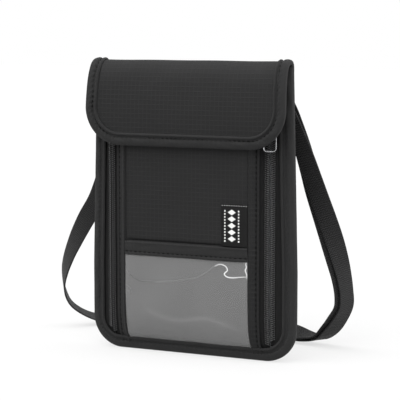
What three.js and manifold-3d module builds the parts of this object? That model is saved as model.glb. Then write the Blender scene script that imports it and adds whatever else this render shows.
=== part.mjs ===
// Neck pouch wallet: a flat zipped travel pouch with a flap, an ID window and a webbing neck strap.
// Millimetres. X runs across the pouch, -Y is its front, Z is up from the surface it stands on.
import * as THREE from 'three';
import { mergeVertices } from 'three/addons/utils/BufferGeometryUtils.js';
import Module from 'manifold-3d';

const wasm = await Module();
wasm.setup();

// ---- Driving dimensions ----------------------------------------------------------------------

const SEAM_Y = 2.75;              // the side seam's plane, behind the middle of the pouch's depth
const BODY_TOP = 193;             // top edge of the back panel, just under the flap's fold
const HALF_LOW = 76;              // half width of the body below TAPER_FROM
const HALF_TOP = 72.5;            // half width at the top fold
const TAPER_FROM = 60;
const CORNER = 22;                // radius of the two bottom corners
const BINDING = 9.3;              // width of the binding tape on each face
const RIM = 2.25;                 // half thickness of the bound edge
const TAPE_T = 0.6;               // thickness of binding and zipper tape

const PANEL_HALF = 45.8;          // half width of the centre front panel
const FRONT_DEPTH = 10.9;         // how far the centre panel stands in front of the seam
const EDGE_DEPTH = 3;             // the least depth of the front, beside the binding
const SIDE_ANGLE = THREE.MathUtils.degToRad(20);   // slope of the zipper strips
const BACK_DEPTH = 4.4;           // how far the back panel's flat middle stands behind the seam
const MOUTH = 188;                // top edge of the front wall, under the flap

const PLACKET_EDGE = 52.4;        // where the placket fold ends over the zipper
const ZIP_X = 59;                 // middle of each zipper
const COIL_HALF = 3.4;            // from the middle of the zipper to the coil's outer side
const COIL_GAP = 0.75;            // from the middle of the zipper to the coil's inner side
const COIL_BOTTOM = { inner: 10.6, outer: 13.2 };
const TAPE_MIDDLE = 58.6;         // middle of the gap between the tapes, under the coil
const RIGHT_SLIDER_Z = 153.8;
const LEFT_SLIDER_Z = 166;
const PULL_WIDTH = 8;
const PULL_LENGTH = 11.6;
const WIRE = 0.45;                // radius of the pull's wire
const PULL_PIVOT = { y: -2.9, z: -2.2 };           // in the slider's own frame

const WINDOW_TOP = 76.1;          // upper edge of the ID pocket's bound mouth
const WINDOW_TAPE = 9.3;
const LABEL = { left: 26.4, right: 45.4, bottom: 76.6, top: 104.6 };

const FLAP_HALF_TOP = 72.6;
const FLAP_HALF_LOW = 74.5;
const FLAP_CORNER = 26;
const FLAP_BINDING = 8.8;
const FLAP_RIM = 1.55;            // half thickness of the flap's bound edge

const WEBBING = 13;               // width of the neck strap
const WEBBING_T = 1.2;
const RING_TILT = THREE.MathUtils.degToRad(24);    // the strap leaves the pouch at this slant
const RING_AT = { x: 56, y: 8, z: 181.5 };         // middle of the ring's upper bar
const RING_WIDTH = 16.4;
const RING_LENGTH = 8.5;
const RING_WIRE = 1;
const RING_WRAP = 2.5;            // radius of the webbing's turn round a bar

// ---- Looks -----------------------------------------------------------------------------------

const look = (color, roughness, metalness = 0) =>
  new THREE.MeshStandardMaterial({ color, roughness, metalness });
const RIPSTOP = look(0x363636, 0.8);
const PLAIN = look(0x333333, 0.85);
const BINDING_LOOK = look(0x404040, 0.8);
const LINING = look(0x6f7072, 0.7);
const TAPE = look(0x2c2c2c, 0.9);
const COIL = look(0x242424, 0.5);
const CLEAR = look(0xb4b6b8, 0.15);
const LABEL_LOOK = look(0x141414, 0.8);
const HOOK_LOOP = look(0x1a1a1a, 0.95);
const WEB = look(0x262626, 0.85);
const WIRE_LOOK = look(0xc8c8c8, 0.25, 1);
const BLACK_METAL = look(0x202020, 0.4, 0.8);

const pouch = new THREE.Group();
pouch.position.y = SEAM_Y;

// ---- Small helpers ---------------------------------------------------------------------------

const { clamp, lerp, smoothstep } = THREE.MathUtils;

function addMesh(name, geometry, material, parent = pouch) {
  const mesh = new THREE.Mesh(geometry, material);
  mesh.name = name;
  parent.add(mesh);
  return mesh;
}

// The same body with its shared points merged and its faces turned outwards.
function facingOut(geometry) {
  geometry.deleteAttribute('normal');
  geometry.deleteAttribute('uv');
  const whole = mergeVertices(geometry, 1e-4);
  const index = whole.index.array;
  const corner = [new THREE.Vector3(), new THREE.Vector3(), new THREE.Vector3()];
  let volume = 0;
  for (let i = 0; i < index.length; i += 3) {
    corner.forEach((c, k) => c.fromBufferAttribute(whole.attributes.position, index[i + k]));
    volume += corner[0].dot(corner[1].clone().cross(corner[2]));
  }
  if (volume < 0) {
    for (let i = 0; i < index.length; i += 3) [index[i], index[i + 1]] = [index[i + 1], index[i]];
  }
  whole.computeVertexNormals();
  return whole;
}

// A closed body from a box whose grid points are placed by place(u, v, w), each from 0 to 1.
function mappedBox(columns, layers, rows, place) {
  const box = new THREE.BoxGeometry(1, 1, 1, columns, layers, rows);
  const p = box.attributes.position;
  for (let i = 0; i < p.count; i++) {
    const at = place(p.getX(i) + 0.5, p.getY(i) + 0.5, p.getZ(i) + 0.5);
    p.setXYZ(i, at.x, at.y, at.z);
  }
  return facingOut(box);
}

function toSolid(geometry) {
  const bare = geometry.clone();
  bare.deleteAttribute('normal');
  bare.deleteAttribute('uv');
  const merged = mergeVertices(bare, 1e-4);
  return new wasm.Manifold(new wasm.Mesh({
    numProp: 3,
    vertProperties: new Float32Array(merged.attributes.position.array),
    triVerts: new Uint32Array(merged.index.array),
  }));
}

function toGeometry(solid) {
  const mesh = solid.getMesh();
  const geometry = new THREE.BufferGeometry();
  geometry.setAttribute('position', new THREE.BufferAttribute(mesh.vertProperties, 3));
  geometry.setIndex(new THREE.BufferAttribute(mesh.triVerts, 1));
  geometry.computeVertexNormals();
  return geometry;
}

function block(width, depth, height, x = 0, y = 0, z = 0) {
  return new THREE.BoxGeometry(width, depth, height).translate(x, y, z);
}

// ---- The body's outline and its layers -------------------------------------------------------

const sideAt = (z) => lerp(HALF_LOW, HALF_TOP, clamp((z - TAPER_FROM) / (199 - TAPER_FROM), 0, 1));

// Half width at height z of the outline moved inwards by inset.
function halfWidth(z, inset) {
  const side = sideAt(z);
  if (z >= CORNER) return side - inset;
  const r = CORNER - inset;
  return side - CORNER + Math.sqrt(Math.max(0, r * r - (CORNER - z) ** 2));
}

// How far (x, z) lies inside the outline, and the direction of the nearest edge.
function rimOf(x, z) {
  const side = sideAt(z);
  const cornerX = side - CORNER;
  if (z < CORNER && Math.abs(x) > cornerX) {
    const dx = Math.abs(x) - cornerX;
    const dz = z - CORNER;
    const r = Math.max(Math.hypot(dx, dz), 1e-6);
    return { inset: CORNER - r, nx: Math.sign(x) * dx / r, nz: dz / r };
  }
  const toSide = side - Math.abs(x);
  if (z < CORNER && z < toSide) return { inset: z, nx: 0, nz: -1 };
  return { inset: toSide, nx: Math.sign(x), nz: 0 };
}

// Depth in front of the seam of the front's outer face, as if it ran on without a binding.
function openFront(x, z) {
  const bottom = 5.5 * Math.exp(-Math.max(0, z - BINDING) / 8);
  const top = 2.9 * smoothstep(z, 165, 192);
  const middle = FRONT_DEPTH - bottom - top;
  const down = Math.max(0, Math.abs(x) - PANEL_HALF) * Math.tan(SIDE_ANGLE);
  return EDGE_DEPTH + (middle - EDGE_DEPTH) * Math.max(0, 1 - down / (FRONT_DEPTH - EDGE_DEPTH));
}

// Depth of the binding's front face, `inset` in from the edge nearest to (x, z).
function bindingFront(x, z, inset) {
  const rim = rimOf(x, z);
  const toInner = rim.inset - BINDING;
  const inner = openFront(x + rim.nx * toInner, z + rim.nz * toInner) + 0.35;
  return lerp(RIM, inner, clamp(inset / BINDING, 0, 1));
}

// Depth of the front fabric's outer face. It dips under the binding near the edge.
function front(x, z) {
  const { inset } = rimOf(x, z);
  if (inset < BINDING) return bindingFront(x, z, inset) - 0.9;
  return openFront(x, z) - 0.55 * (1 - smoothstep(inset, BINDING, BINDING + 3));
}

// How far the zipper tapes lie under the front's face: full depth, fading out towards the rim.
const TAPE_SUNK = 0.9;
const tapeSunk = (x, z) => TAPE_SUNK * smoothstep(rimOf(x, z).inset, 3, BINDING);

// Depth of the divider's front face. It joins the front wall at the mouth.
function divider(x, z) {
  const open = clamp(front(x, z) - 3.5, 0.6, 4.8);
  const joined = Math.max(0.6, front(x, z) - 1.8);
  return lerp(open, joined, smoothstep(z, 172, 178));
}

// Depth behind the seam of the back panel's outer face: a flat middle inside a soft edge.
function back(x, z) {
  const { inset } = rimOf(x, z);
  const fill = smoothstep(inset, 8, 30) * smoothstep(BODY_TOP - z, 4, 26);
  return lerp(1.4, BACK_DEPTH, fill);
}

// Depth behind the seam of the back lining's outer face.
const backLining = (x, z) => back(x, z) - lerp(0.95, 1.35, clamp((back(x, z) - 1.4) / 0.8, 0, 1));

// Heights at which every layer has a row of points, closer together where the surfaces curve.
const LEVELS = [
  2, 3.8, 6.5, 9.3, 12.3, 16, 22, 30, 42, 60, 82, 104, 126, 148, 158, 168, 173, 178, 183, 188, 193,
];

function levelsBetween(bottom, top) {
  return [bottom, ...LEVELS.filter((z) => z > bottom + 0.8 && z < top - 0.8), top];
}

// A sheet of the body, from x = left(z) to right(z), whose outer face lies at y = face(x, z).
function bodySheet(name, material, { left, right, bottom, top, columns, face, thickness }) {
  const levels = levelsBetween(bottom, top);
  const geometry = mappedBox(columns.length - 1, 1, levels.length - 1, (u, v, w) => {
    const z = levels[Math.round(w * (levels.length - 1))];
    const x = lerp(left(z), right(z), columns[Math.round(u * (columns.length - 1))]);
    return new THREE.Vector3(x, face(x, z) + v * thickness, z);
  });
  return addMesh(name, geometry, material);
}

const even = (count) => Array.from({ length: count + 1 }, (_, i) => i / count);
const EDGEWISE = [0, 0.04, 0.09, 0.14, 0.2, 0.3, 0.5, 0.7, 0.8, 0.86, 0.91, 0.96, 1];

// ---- Folded tape: a binding wrapped round an edge --------------------------------------------

// path: points { x, v, nx, nv } with the outward direction. section: [inward, normal] pairs of
// the tape's outer face, front to back, and inside: the same of its inner face.
// place(x, v, normal, inward) puts a point in space.
function foldedTape(name, material, path, section, inside, place) {
  const across = section.length - 1;
  const geometry = mappedBox(across, 1, path.length - 1, (u, v, w) => {
    const at = path[Math.round(w * (path.length - 1))];
    const index = Math.round(u * across);
    const [inward, normal] = v < 0.5 ? section[index] : inside[index];
    return place(at.x - at.nx * inward, at.v - at.nv * inward, normal, inward);
  });
  return addMesh(name, geometry, material);
}

// The edge of a shape with straight sides and two round corners, from the top of its left side
// down and round to the top of its right side. side(v) is its half width and v falls to `low`.
function roundedPath(side, high, low, radius, sideSteps, cornerSteps, floorX) {
  const right = [];
  const cornerX = side(low + radius) - radius;
  [0, ...floorX, cornerX].forEach((x) => right.push({ x, v: low, nx: 0, nv: -1 }));
  for (let i = 1; i <= cornerSteps; i++) {
    const angle = (Math.PI / 2) * (i / cornerSteps);
    const nx = Math.sin(angle);
    const nv = -Math.cos(angle);
    right.push({ x: cornerX + radius * nx, v: low + radius + radius * nv, nx, nv });
  }
  for (let i = 1; i <= sideSteps; i++) {
    const v = lerp(low + radius, high, i / sideSteps);
    right.push({ x: side(v), v, nx: 1, nv: 0 });
  }
  const leftHalf = right.slice(1).reverse().map((p) => ({ ...p, x: -p.x, nx: -p.nx }));
  return [...leftHalf, ...right];
}

// ---- Webbing ---------------------------------------------------------------------------------

// A flat band of webbing through `rows`: each a point and the direction of the band's width.
function webbing(name, rows, thickness = WEBBING_T, parent = pouch) {
  const last = rows.length - 1;
  const frames = rows.map(({ point, across: width }, i) => {
    const along = rows[Math.min(i + 1, last)].point.clone().sub(rows[Math.max(i - 1, 0)].point).normalize();
    const across = width.clone().addScaledVector(along, -width.dot(along)).normalize();
    return { point, across, out: along.clone().cross(across) };
  });
  const geometry = mappedBox(1, 1, last, (u, v, w) => {
    const { point, across, out } = frames[Math.round(w * last)];
    return point.clone().addScaledVector(across, (u - 0.5) * WEBBING)
      .addScaledVector(out, (0.5 - v) * thickness);
  });
  return addMesh(name, geometry, WEB, parent);
}

// ---- Body of the pouch -----------------------------------------------------------------------

const FULL_WIDTH = {
  left: (z) => -halfWidth(z, 2), right: (z) => halfWidth(z, 2), bottom: 2, columns: EDGEWISE,
};

bodySheet('back_panel', RIPSTOP, {
  ...FULL_WIDTH, top: BODY_TOP, face: (x, z) => back(x, z) - 0.7, thickness: 0.7,
});
bodySheet('rfid_back_lining', LINING, {
  ...FULL_WIDTH, top: BODY_TOP - 2, face: (x, z) => backLining(x, z) - 0.4, thickness: 0.4,
});
bodySheet('inner_divider', LINING, {
  ...FULL_WIDTH, top: MOUTH - 1.6, face: (x, z) => -divider(x, z), thickness: 0.4,
});
bodySheet('front_panel', RIPSTOP, {
  left: () => -PANEL_HALF + 0.2, right: () => PANEL_HALF - 0.2, bottom: 3.8, top: MOUTH - 1.6,
  columns: even(4), face: (x, z) => -front(x, z), thickness: 0.7,
});
bodySheet('front_lining', LINING, {
  left: () => -48.4, right: () => 48.4, bottom: 3.8, top: MOUTH - 1.6,
  columns: [0, 0.03, 0.5, 0.97, 1], face: (x, z) => 1 - front(x, z), thickness: 0.35,
});

const bodyEdge = roundedPath(sideAt, BODY_TOP, 0, CORNER, 7, 7, [24, PANEL_HALF]);
const bothLegs = (leg) => [...leg, ...leg.map(([inward, share]) => [inward, -share]).reverse()];
const FOLD = bothLegs([[BINDING, 1], [BINDING / 2, 1], [1.4, 1], [0.4, 0.96], [0, 0.7]]);
const FOLD_INSIDE = bothLegs([[BINDING, 1], [BINDING / 2, 1], [1.5, 1], [0.9, 0.9], [0.7, 0.6]]);
foldedTape('edge_binding', BINDING_LOOK, bodyEdge,
  FOLD.map(([inward, share]) => [inward, { share, inner: 0 }]),
  FOLD_INSIDE.map(([inward, share]) => [inward, { share, inner: TAPE_T }]),
  (x, z, { share, inner }, inward) => {
    const forward = share > 0 ? bindingFront(x, z, inward) : RIM + 0.4 * (inward / BINDING);
    return new THREE.Vector3(x, -share * (forward - inner), z);
  });

// The front wall's top edge, bound across its whole width.
const MOUTH_HALF = halfWidth(MOUTH, BINDING) - 0.5;
const mouthPath = [-1, -0.86, -0.72, -0.36, 0, 0.36, 0.72, 0.86, 1].map((share) => (
  { x: share * MOUTH_HALF, v: MOUTH, nx: 0, nv: 1 }));
foldedTape('mouth_binding', BINDING_LOOK, mouthPath,
  [[8, 0.9], [1, 0.9], [0, 0.3], [0, -2.8], [1, -3.4], [8, -3.4]],
  [[8, 0.3], [1.1, 0.3], [0.6, 0.1], [0.6, -2.6], [1.1, -2.85], [8, -2.85]],
  (x, z, normal) => new THREE.Vector3(x, -front(x, z) - normal, z));

// ---- ID window, its mouth binding, the label and the closure's loop strip --------------------

// Depth in front of the centre panel, which shrinks towards the pocket's bottom seam.
const spread = (z, low, high) => lerp(low, high, smoothstep(z, 10, 34));

bodySheet('id_pocket_backing', LINING, {
  left: () => -PANEL_HALF + 0.5, right: () => PANEL_HALF - 0.5, bottom: 9.9, top: 72,
  columns: even(2), face: (x, z) => -front(x, z) - 0.55, thickness: 0.3,
});
bodySheet('id_window', CLEAR, {
  left: () => -PANEL_HALF + 0.5, right: () => PANEL_HALF - 0.5, bottom: 9.9, top: WINDOW_TOP - 1.4,
  columns: even(2), face: (x, z) => -front(x, z) - spread(z, 1.1, 1.75), thickness: 0.3,
});
const windowPath = [-1, 0, 1].map((share) => (
  { x: share * (PANEL_HALF - 0.5), v: WINDOW_TOP, nx: 0, nv: 1 }));
foldedTape('id_window_binding', BINDING_LOOK, windowPath,
  [[WINDOW_TAPE, 2.5], [0.6, 2.5], [0, 2.2], [0, 1.0], [0.6, 0.75], [WINDOW_TAPE, 0.75]],
  [[WINDOW_TAPE, 2.0], [1, 2.0], [0.6, 1.8], [0.6, 1.4], [1, 1.2], [WINDOW_TAPE, 1.2]],
  (x, z, normal) => new THREE.Vector3(x, -front(x, z) - normal, z));
bodySheet('woven_label', LABEL_LOOK, {
  left: () => LABEL.left, right: () => LABEL.right, bottom: LABEL.bottom, top: LABEL.top,
  columns: even(1), face: (x, z) => -front(x, z) - 0.65, thickness: 0.4,
});
bodySheet('loop_strip', HOOK_LOOP, {
  left: () => -28, right: () => 28, bottom: 148, top: 166,
  columns: even(1), face: (x, z) => -front(x, z) - 1.5, thickness: 1.2,
});

// ---- Side strips: placket fold, zipper tapes, coils, stop ------------------------------------

function zipper(side, sliderZ) {
  const sign = side === 'right' ? 1 : -1;
  const strip = (name, material, from, to, bottom, top, columns, face, thickness) =>
    bodySheet(`${side}_${name}`, material, {
      left: (z) => (sign > 0 ? from : -to(z)), right: (z) => (sign > 0 ? to(z) : -from),
      bottom, top, columns: sign > 0 ? columns : columns.map((c) => 1 - c).reverse(), face, thickness,
    });
  const coilTop = sliderZ + 5.6;
  strip('placket', PLAIN, PANEL_HALF + 0.1, () => PLACKET_EDGE, 3.8, MOUTH - 1.6, even(1),
    (x, z) => -front(x, z), 0.6);
  strip('zip_tape_inner', TAPE, PANEL_HALF + 3.2, () => TAPE_MIDDLE - 0.7, 3.8, MOUTH - 1.6, even(1),
    (x, z) => TAPE_SUNK - front(x, z), TAPE_T);
  strip('zip_tape_outer', TAPE, TAPE_MIDDLE + 0.7, (z) => halfWidth(z, 2), 5.4, MOUTH - 1.6,
    [0, 0.33, 0.55, 0.78, 1], (x, z) => tapeSunk(x, z) - front(x, z), TAPE_T);
  strip('coil_inner', COIL, ZIP_X - COIL_HALF, () => ZIP_X - COIL_GAP, COIL_BOTTOM.inner, coilTop, even(1),
    (x, z) => -front(x, z) - 0.65, 1.25);
  strip('coil_outer', COIL, ZIP_X + COIL_GAP, () => ZIP_X + COIL_HALF, COIL_BOTTOM.outer, coilTop, even(1),
    (x, z) => -front(x, z) - 0.65, 1.25);
}
zipper('right', RIGHT_SLIDER_Z);
zipper('left', LEFT_SLIDER_Z);

// ---- Slider, pull and top stop, in a frame that lies on the strip ----------------------------

// A wire bent into a rounded rectangle, hanging in the XZ plane from its top bar at z = 0.
function wireLoop(width, length, radius, wire) {
  const half = width / 2;
  const outline = new THREE.Shape();
  outline.moveTo(half - radius, 0);
  outline.absarc(half - radius, -radius, radius, Math.PI / 2, 0, true);
  outline.absarc(half - radius, radius - length, radius, 0, -Math.PI / 2, true);
  outline.absarc(radius - half, radius - length, radius, -Math.PI / 2, -Math.PI, true);
  outline.absarc(radius - half, -radius, radius, Math.PI, Math.PI / 2, true);
  outline.closePath();
  const torus = new THREE.TorusGeometry(width, wire, 8, 32);
  torus.deleteAttribute('normal');
  torus.deleteAttribute('uv');
  const loop = mergeVertices(torus, 1e-4);
  const p = loop.attributes.position;
  for (let i = 0; i < p.count; i++) {
    const turn = (Math.atan2(p.getY(i), p.getX(i)) / (2 * Math.PI) + 1) % 1;
    const outward = Math.hypot(p.getX(i), p.getY(i)) - width;
    const at = outline.getPointAt(turn);
    const along = outline.getTangentAt(turn);
    p.setXYZ(i, at.x - along.y * outward, p.getZ(i), at.y + along.x * outward);
  }
  return facingOut(loop);
}

const crossPin = (radius, length) => (
  new THREE.CylinderGeometry(radius, radius, length, 16).rotateZ(Math.PI / 2));

function sliderBody() {
  const plateInner = -1;                   // just over the coil
  const plate = new THREE.Shape();
  plate.moveTo(-3.9, 3.4);
  plate.quadraticCurveTo(0, 6.6, 3.9, 3.4);
  plate.lineTo(3.3, -5);
  plate.lineTo(-3.3, -5);
  plate.closePath();
  const frontPlate = new THREE.ExtrudeGeometry(plate, { depth: 1, bevelEnabled: false, curveSegments: 8 })
    .rotateX(Math.PI / 2).translate(0, plateInner, 0);
  const crown = block(2.4, 2.3, 7.4, 0, plateInner - 1.9, 0.5);
  const crownHollow = block(3, 1.1, 4.6, 0, plateInner - 1.75, -0.4);
  const neck = block(0.7, 4, 3, 0, 0.6, 2.6);
  const backPlate = block(6.6, 0.8, 8.6, 0, 2.5, 0.3);
  const holes = toSolid(crownHollow).add(toSolid(crossPin(0.9, 3).translate(0, PULL_PIVOT.y, PULL_PIVOT.z)));
  const whole = toSolid(frontPlate).add(toSolid(crown)).add(toSolid(neck)).add(toSolid(backPlate));
  return toGeometry(whole.subtract(holes));
}

function addSlider(side, z) {
  const sign = side === 'right' ? 1 : -1;
  const onStrip = new THREE.Group();
  onStrip.position.set(sign * ZIP_X, -openFront(ZIP_X, 120), z);
  onStrip.rotation.z = sign * SIDE_ANGLE;
  pouch.add(onStrip);
  addMesh(`${side}_zip_slider`, sliderBody(), BLACK_METAL, onStrip);
  const pull = addMesh(`${side}_zip_pull`, wireLoop(PULL_WIDTH, PULL_LENGTH, 2.2, WIRE), WIRE_LOOK, onStrip);
  pull.position.set(0, PULL_PIVOT.y, PULL_PIVOT.z);
  const stop = addMesh(`${side}_zip_top_stop`, block(7, 1, 1.8), BLACK_METAL, onStrip);
  stop.position.set(0, 0.1, 7.4);
}
addSlider('right', RIGHT_SLIDER_Z);
addSlider('left', LEFT_SLIDER_Z);

// ---- Flap: from the fold at the top, down over the front -------------------------------------

const flapProfile = new THREE.CatmullRomCurve3([
  [-2.8, 197.6], [-5.2, 197.2], [-8.0, 195.3], [-10.4, 191.5], [-12.3, 186],
  [-13.7, 178], [-14.6, 168], [-14.9, 158], [-14.8, 150], [-14.4, 141],
].map(([y, z]) => new THREE.Vector3(0, y, z)), false, 'centripetal');
const FLAP_LENGTH = flapProfile.getLength();
const flapHalf = (v) => lerp(FLAP_HALF_LOW, FLAP_HALF_TOP, clamp(v / FLAP_LENGTH, 0, 1));

// v is the distance up the flap from its free edge; normal points away from the pouch.
function onFlap(x, v, normal) {
  const share = clamp(1 - v / FLAP_LENGTH, 0, 1);
  const at = flapProfile.getPointAt(share);
  const down = flapProfile.getTangentAt(share);
  return new THREE.Vector3(x, at.y + down.z * normal, at.z - down.y * normal);
}

function flapWidth(v, inset) {
  const r = FLAP_CORNER - inset;
  if (v >= FLAP_CORNER) return flapHalf(v) - inset;
  return flapHalf(v) - FLAP_CORNER + Math.sqrt(Math.max(0, r * r - (FLAP_CORNER - v) ** 2));
}

const FLAP_LEVELS = [2, 3.4, 5.5, 9, 14, 20, 28, 37, 45, 51, 55, 58, 61, FLAP_LENGTH];

function flapSheet(name, material, { levels, width, columns, outer, thickness }) {
  const geometry = mappedBox(columns, 1, levels.length - 1, (u, v, w) => {
    const up = levels[Math.round(w * (levels.length - 1))];
    return onFlap((2 * u - 1) * width(up), up, outer - v * thickness);
  });
  return addMesh(name, geometry, material);
}

flapSheet('flap_outer', RIPSTOP, {
  levels: FLAP_LEVELS, width: (v) => flapWidth(v, 2), columns: 4, outer: 0.7, thickness: 0.7,
});
flapSheet('flap_lining', LINING, {
  levels: FLAP_LEVELS, width: (v) => flapWidth(v, 2), columns: 4, outer: -0.25, thickness: 0.45,
});
flapSheet('hook_strip', HOOK_LOOP, {
  levels: [9, 17, 25], width: () => 27, columns: 2, outer: -0.95, thickness: 1,
});
const flapEdge = roundedPath(flapHalf, FLAP_LENGTH, 0, FLAP_CORNER, 8, 7, [24]);
foldedTape('flap_binding', BINDING_LOOK, flapEdge,
  FOLD.map(([inward, share]) => [inward * FLAP_BINDING / BINDING, share * FLAP_RIM]),
  FOLD_INSIDE.map(([inward, share]) => [inward * FLAP_BINDING / BINDING, share * (FLAP_RIM - 0.5)]),
  (x, v, normal) => onFlap(x, v, normal));

// ---- Strap: tab and ring at the upper right of the back --------------------------------------

const ringFrame = new THREE.Group();
ringFrame.position.set(RING_AT.x, RING_AT.y, RING_AT.z);
ringFrame.rotation.y = -RING_TILT;
pouch.add(ringFrame);

// Points round a bar at the origin, from +Y to -Y; side is -1 under the bar and 1 over it.
const turnRound = (radius, side, steps = 6) => even(steps).map((t) => (
  [radius * Math.cos(Math.PI * t), side * radius * Math.sin(Math.PI * t)]));

const tabPath = [
  [-0.9, 11.5], [0.3, 7.5], [1.9, 3.5], ...turnRound(RING_WRAP, -1),
  [-RING_WRAP, 3.5], [-RING_WRAP, 7.5], [-RING_WRAP, 11.5],
];
webbing('strap_tab', tabPath.map(([y, z]) => (
  { point: new THREE.Vector3(0, y, z), across: new THREE.Vector3(1, 0, 0) })), 1, ringFrame);
addMesh('strap_ring', wireLoop(RING_WIDTH, RING_LENGTH, 2.4, RING_WIRE), BLACK_METAL, ringFrame);

// ---- Strap: the webbing's route --------------------------------------------------------------

// Middle of the webbing and the direction of its width, from the ring on the right, down to the
// surface, round behind the pouch, and up to the stitched end at the upper left of the back.
const ROUTE = [
  [59.6, 5.5, 173.2, 0.91, -0.05, 0.41],
  [62.2, 7.6, 168, 0.93, -0.1, 0.36],
  [64.6, 11.5, 161, 0.96, -0.13, 0.24],
  [67.6, 16, 151, 0.98, -0.14, 0.16],
  [71.6, 21, 137, 0.98, -0.08, 0.15],
  [75.6, 25.5, 122, 0.99, 0, 0.15],
  [79.1, 30, 107.5, 0.98, 0.15, 0.12],
  [82.6, 34.5, 93.5, 0.94, 0.31, 0.1],
  [85.9, 39, 79.5, 0.85, 0.5, 0.12],
  [88.5, 43.5, 66, 0.67, 0.72, 0.15],
  [90.2, 48, 53, 0.47, 0.86, 0.17],
  [90.6, 52, 41, 0.41, 0.87, 0.28],
  [89, 56, 30, 0.5, 0.85, 0.15],
  [83, 59.5, 19.8, 0.56, 0.83, -0.06],
  [76, 62.5, 11.4, 0.45, 0.86, -0.25],
  [67, 64.5, 4.5, 0.25, 0.96, -0.12],
  [57, 66.5, 4.1, 0.2, 0.93, 0.22],
  [46.5, 69.5, 5.2, 0.3, 0.76, 0.55],
  [34, 77, 5.5, 0.12, 0.68, 0.72],
  [21, 89, 6.18, 0.18, 0.42, 0.88],
  [6, 102, 6.58, 0.12, 0.22, 0.97],
  [-11, 113, 7.7, 0.02, 0.06, 1],
  [-26, 118.2, 9.2, 0, 0, 1],
  [-40, 119.4, 9.5, 0, 0, 1],
  [-52, 119.5, 9.5, 0, 0, 1],
  [-64, 119.3, 9.5, 0, 0, 1],
  [-75, 116.6, 9.2, 0, 0.05, 1],
  [-87, 107, 7.6, -0.2, 0.28, 0.93],
  [-98, 91, 5.8, -0.45, 0.5, 0.66],
  [-107.5, 73, 3.6, -0.66, 0.62, 0.3],
  [-115.5, 59.5, 7.9, -0.62, 0.72, 0.24],
  [-123, 48, 17, -0.48, 0.86, 0.1],
  [-125, 43, 25, -0.45, 0.89, 0],
  [-124.6, 39, 34, -0.56, 0.83, 0],
  [-121.4, 35, 44, -0.73, 0.68, -0.1],
  [-114.8, 30, 56, -0.85, 0.5, -0.15],
  [-105.5, 25, 70, -0.93, 0.3, -0.2],
  [-94.4, 20, 85, -0.96, 0.1, -0.25],
  [-83, 15, 99, -0.95, 0.03, -0.28],
  [-75, 11, 113, -0.94, 0, -0.3],
  [-67.5, 7.6, 130, -0.95, 0, -0.28],
  [-61.5, 5.6, 150, -0.97, 0, -0.24],
  [-57.5, 5.4, 170, -0.98, 0, -0.17],
  [-55.5, 5.4, 186, -0.99, 0, -0.1],
];
const routeLine = new THREE.CatmullRomCurve3(
  ROUTE.map(([x, y, z]) => new THREE.Vector3(x, y, z)), false, 'centripetal');
const routeWidth = new THREE.CatmullRomCurve3(
  ROUTE.map((r) => new THREE.Vector3(r[3], r[4], r[5])), false, 'centripetal');
routeLine.arcLengthDivisions = 2000;
const ROUTE_LENGTH = routeLine.getLength();

// Station of a curve parameter among the route's points, as a share for the width's curve.
function routeFrame(distance) {
  const share = clamp(distance / ROUTE_LENGTH, 0, 1);
  const t = routeLine.getUtoTmapping(share);
  const along = routeLine.getTangent(t);
  const across = routeWidth.getPoint(t);
  across.addScaledVector(along, -across.dot(along)).normalize();
  return { point: routeLine.getPoint(t), along, across, out: along.clone().cross(across) };
}

const GLIDE_AT = 330;             // from the ring along the webbing to the tri-glide's middle bar
const GLIDE = { width: 18.6, length: 17.2, thickness: 2.4, bar: 2.4, slot: 5.2, middle: 2, inward: 3.6 };

function rowsAlong(from, to, step) {
  const count = Math.ceil((to - from) / step);
  return even(count).map((share) => lerp(from, to, share));
}

// Rows of a band: a point and the direction of the band's width.
function routeRow(distance, inward = 0, sideways = 0) {
  const { point, across, out } = routeFrame(distance);
  point.addScaledVector(out, -inward).addScaledVector(across, sideways);
  return { point, across };
}

// The same near the tri-glide, laid out along the flat plate instead of along the bent route.
const glideFrame = routeFrame(GLIDE_AT);
function glideRow(ahead, inward) {
  const point = glideFrame.point.clone().addScaledVector(glideFrame.along, ahead)
    .addScaledVector(glideFrame.out, -inward);
  return { point, across: glideFrame.across };
}

// The long layer weaves over the tri-glide's middle bar, on the inner side of the loop.
const overBar = (ahead) => (GLIDE.inward + 2.5) * (1 - smoothstep(Math.abs(ahead), 0.5, 4.8));
webbing('strap_main', [
  ...rowsAlong(0, GLIDE_AT - 13, 10).map((d) => routeRow(d)),
  ...rowsAlong(-9.9, 6.3, 0.9).map((ahead) => glideRow(ahead, overBar(ahead))),
  ...rowsAlong(GLIDE_AT + 9.5, ROUTE_LENGTH, 10).map((d) => routeRow(d)),
]);

// The second layer: over the ring's lower bar, back along the inside of the loop, and stitched
// round the tri-glide's end bar.
ringFrame.updateMatrix();
const ringAcross = new THREE.Vector3(Math.cos(RING_TILT), 0, Math.sin(RING_TILT));
const overRing = turnRound(RING_WRAP, 1).reverse().map(([y, z]) => (
  { point: new THREE.Vector3(0, y, z - RING_LENGTH).applyMatrix4(ringFrame.matrix), across: ringAcross }));
const layerGap = (d) => lerp(2 * RING_WRAP, 2.1, smoothstep(d, 4, 46));
const layerShift = (d) => -0.8 * smoothstep(d, 4, 22) - 2 * smoothstep(d, 32, 70)
  + 2.8 * smoothstep(d, 165, 215);
const endTurn = [
  [-12.5, 4.3], [-10.6, 5.6], [-9, 6.1], [-7.2, 6.1], [-6, 5.6], [-5.3, 4.6],
  [-5.3, 2.6], [-6, 1.75], [-7.2, 1.5], [-9.5, 1.5],
];
webbing('strap_return', [
  ...overRing,
  ...rowsAlong(6, GLIDE_AT - 17, 10).map((d) => routeRow(d, layerGap(d), layerShift(d))),
  ...endTurn.map(([ahead, inward]) => glideRow(ahead, inward)),
]);

// ---- Tri-glide: a plate with two slots, threaded on the webbing ------------------------------

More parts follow.
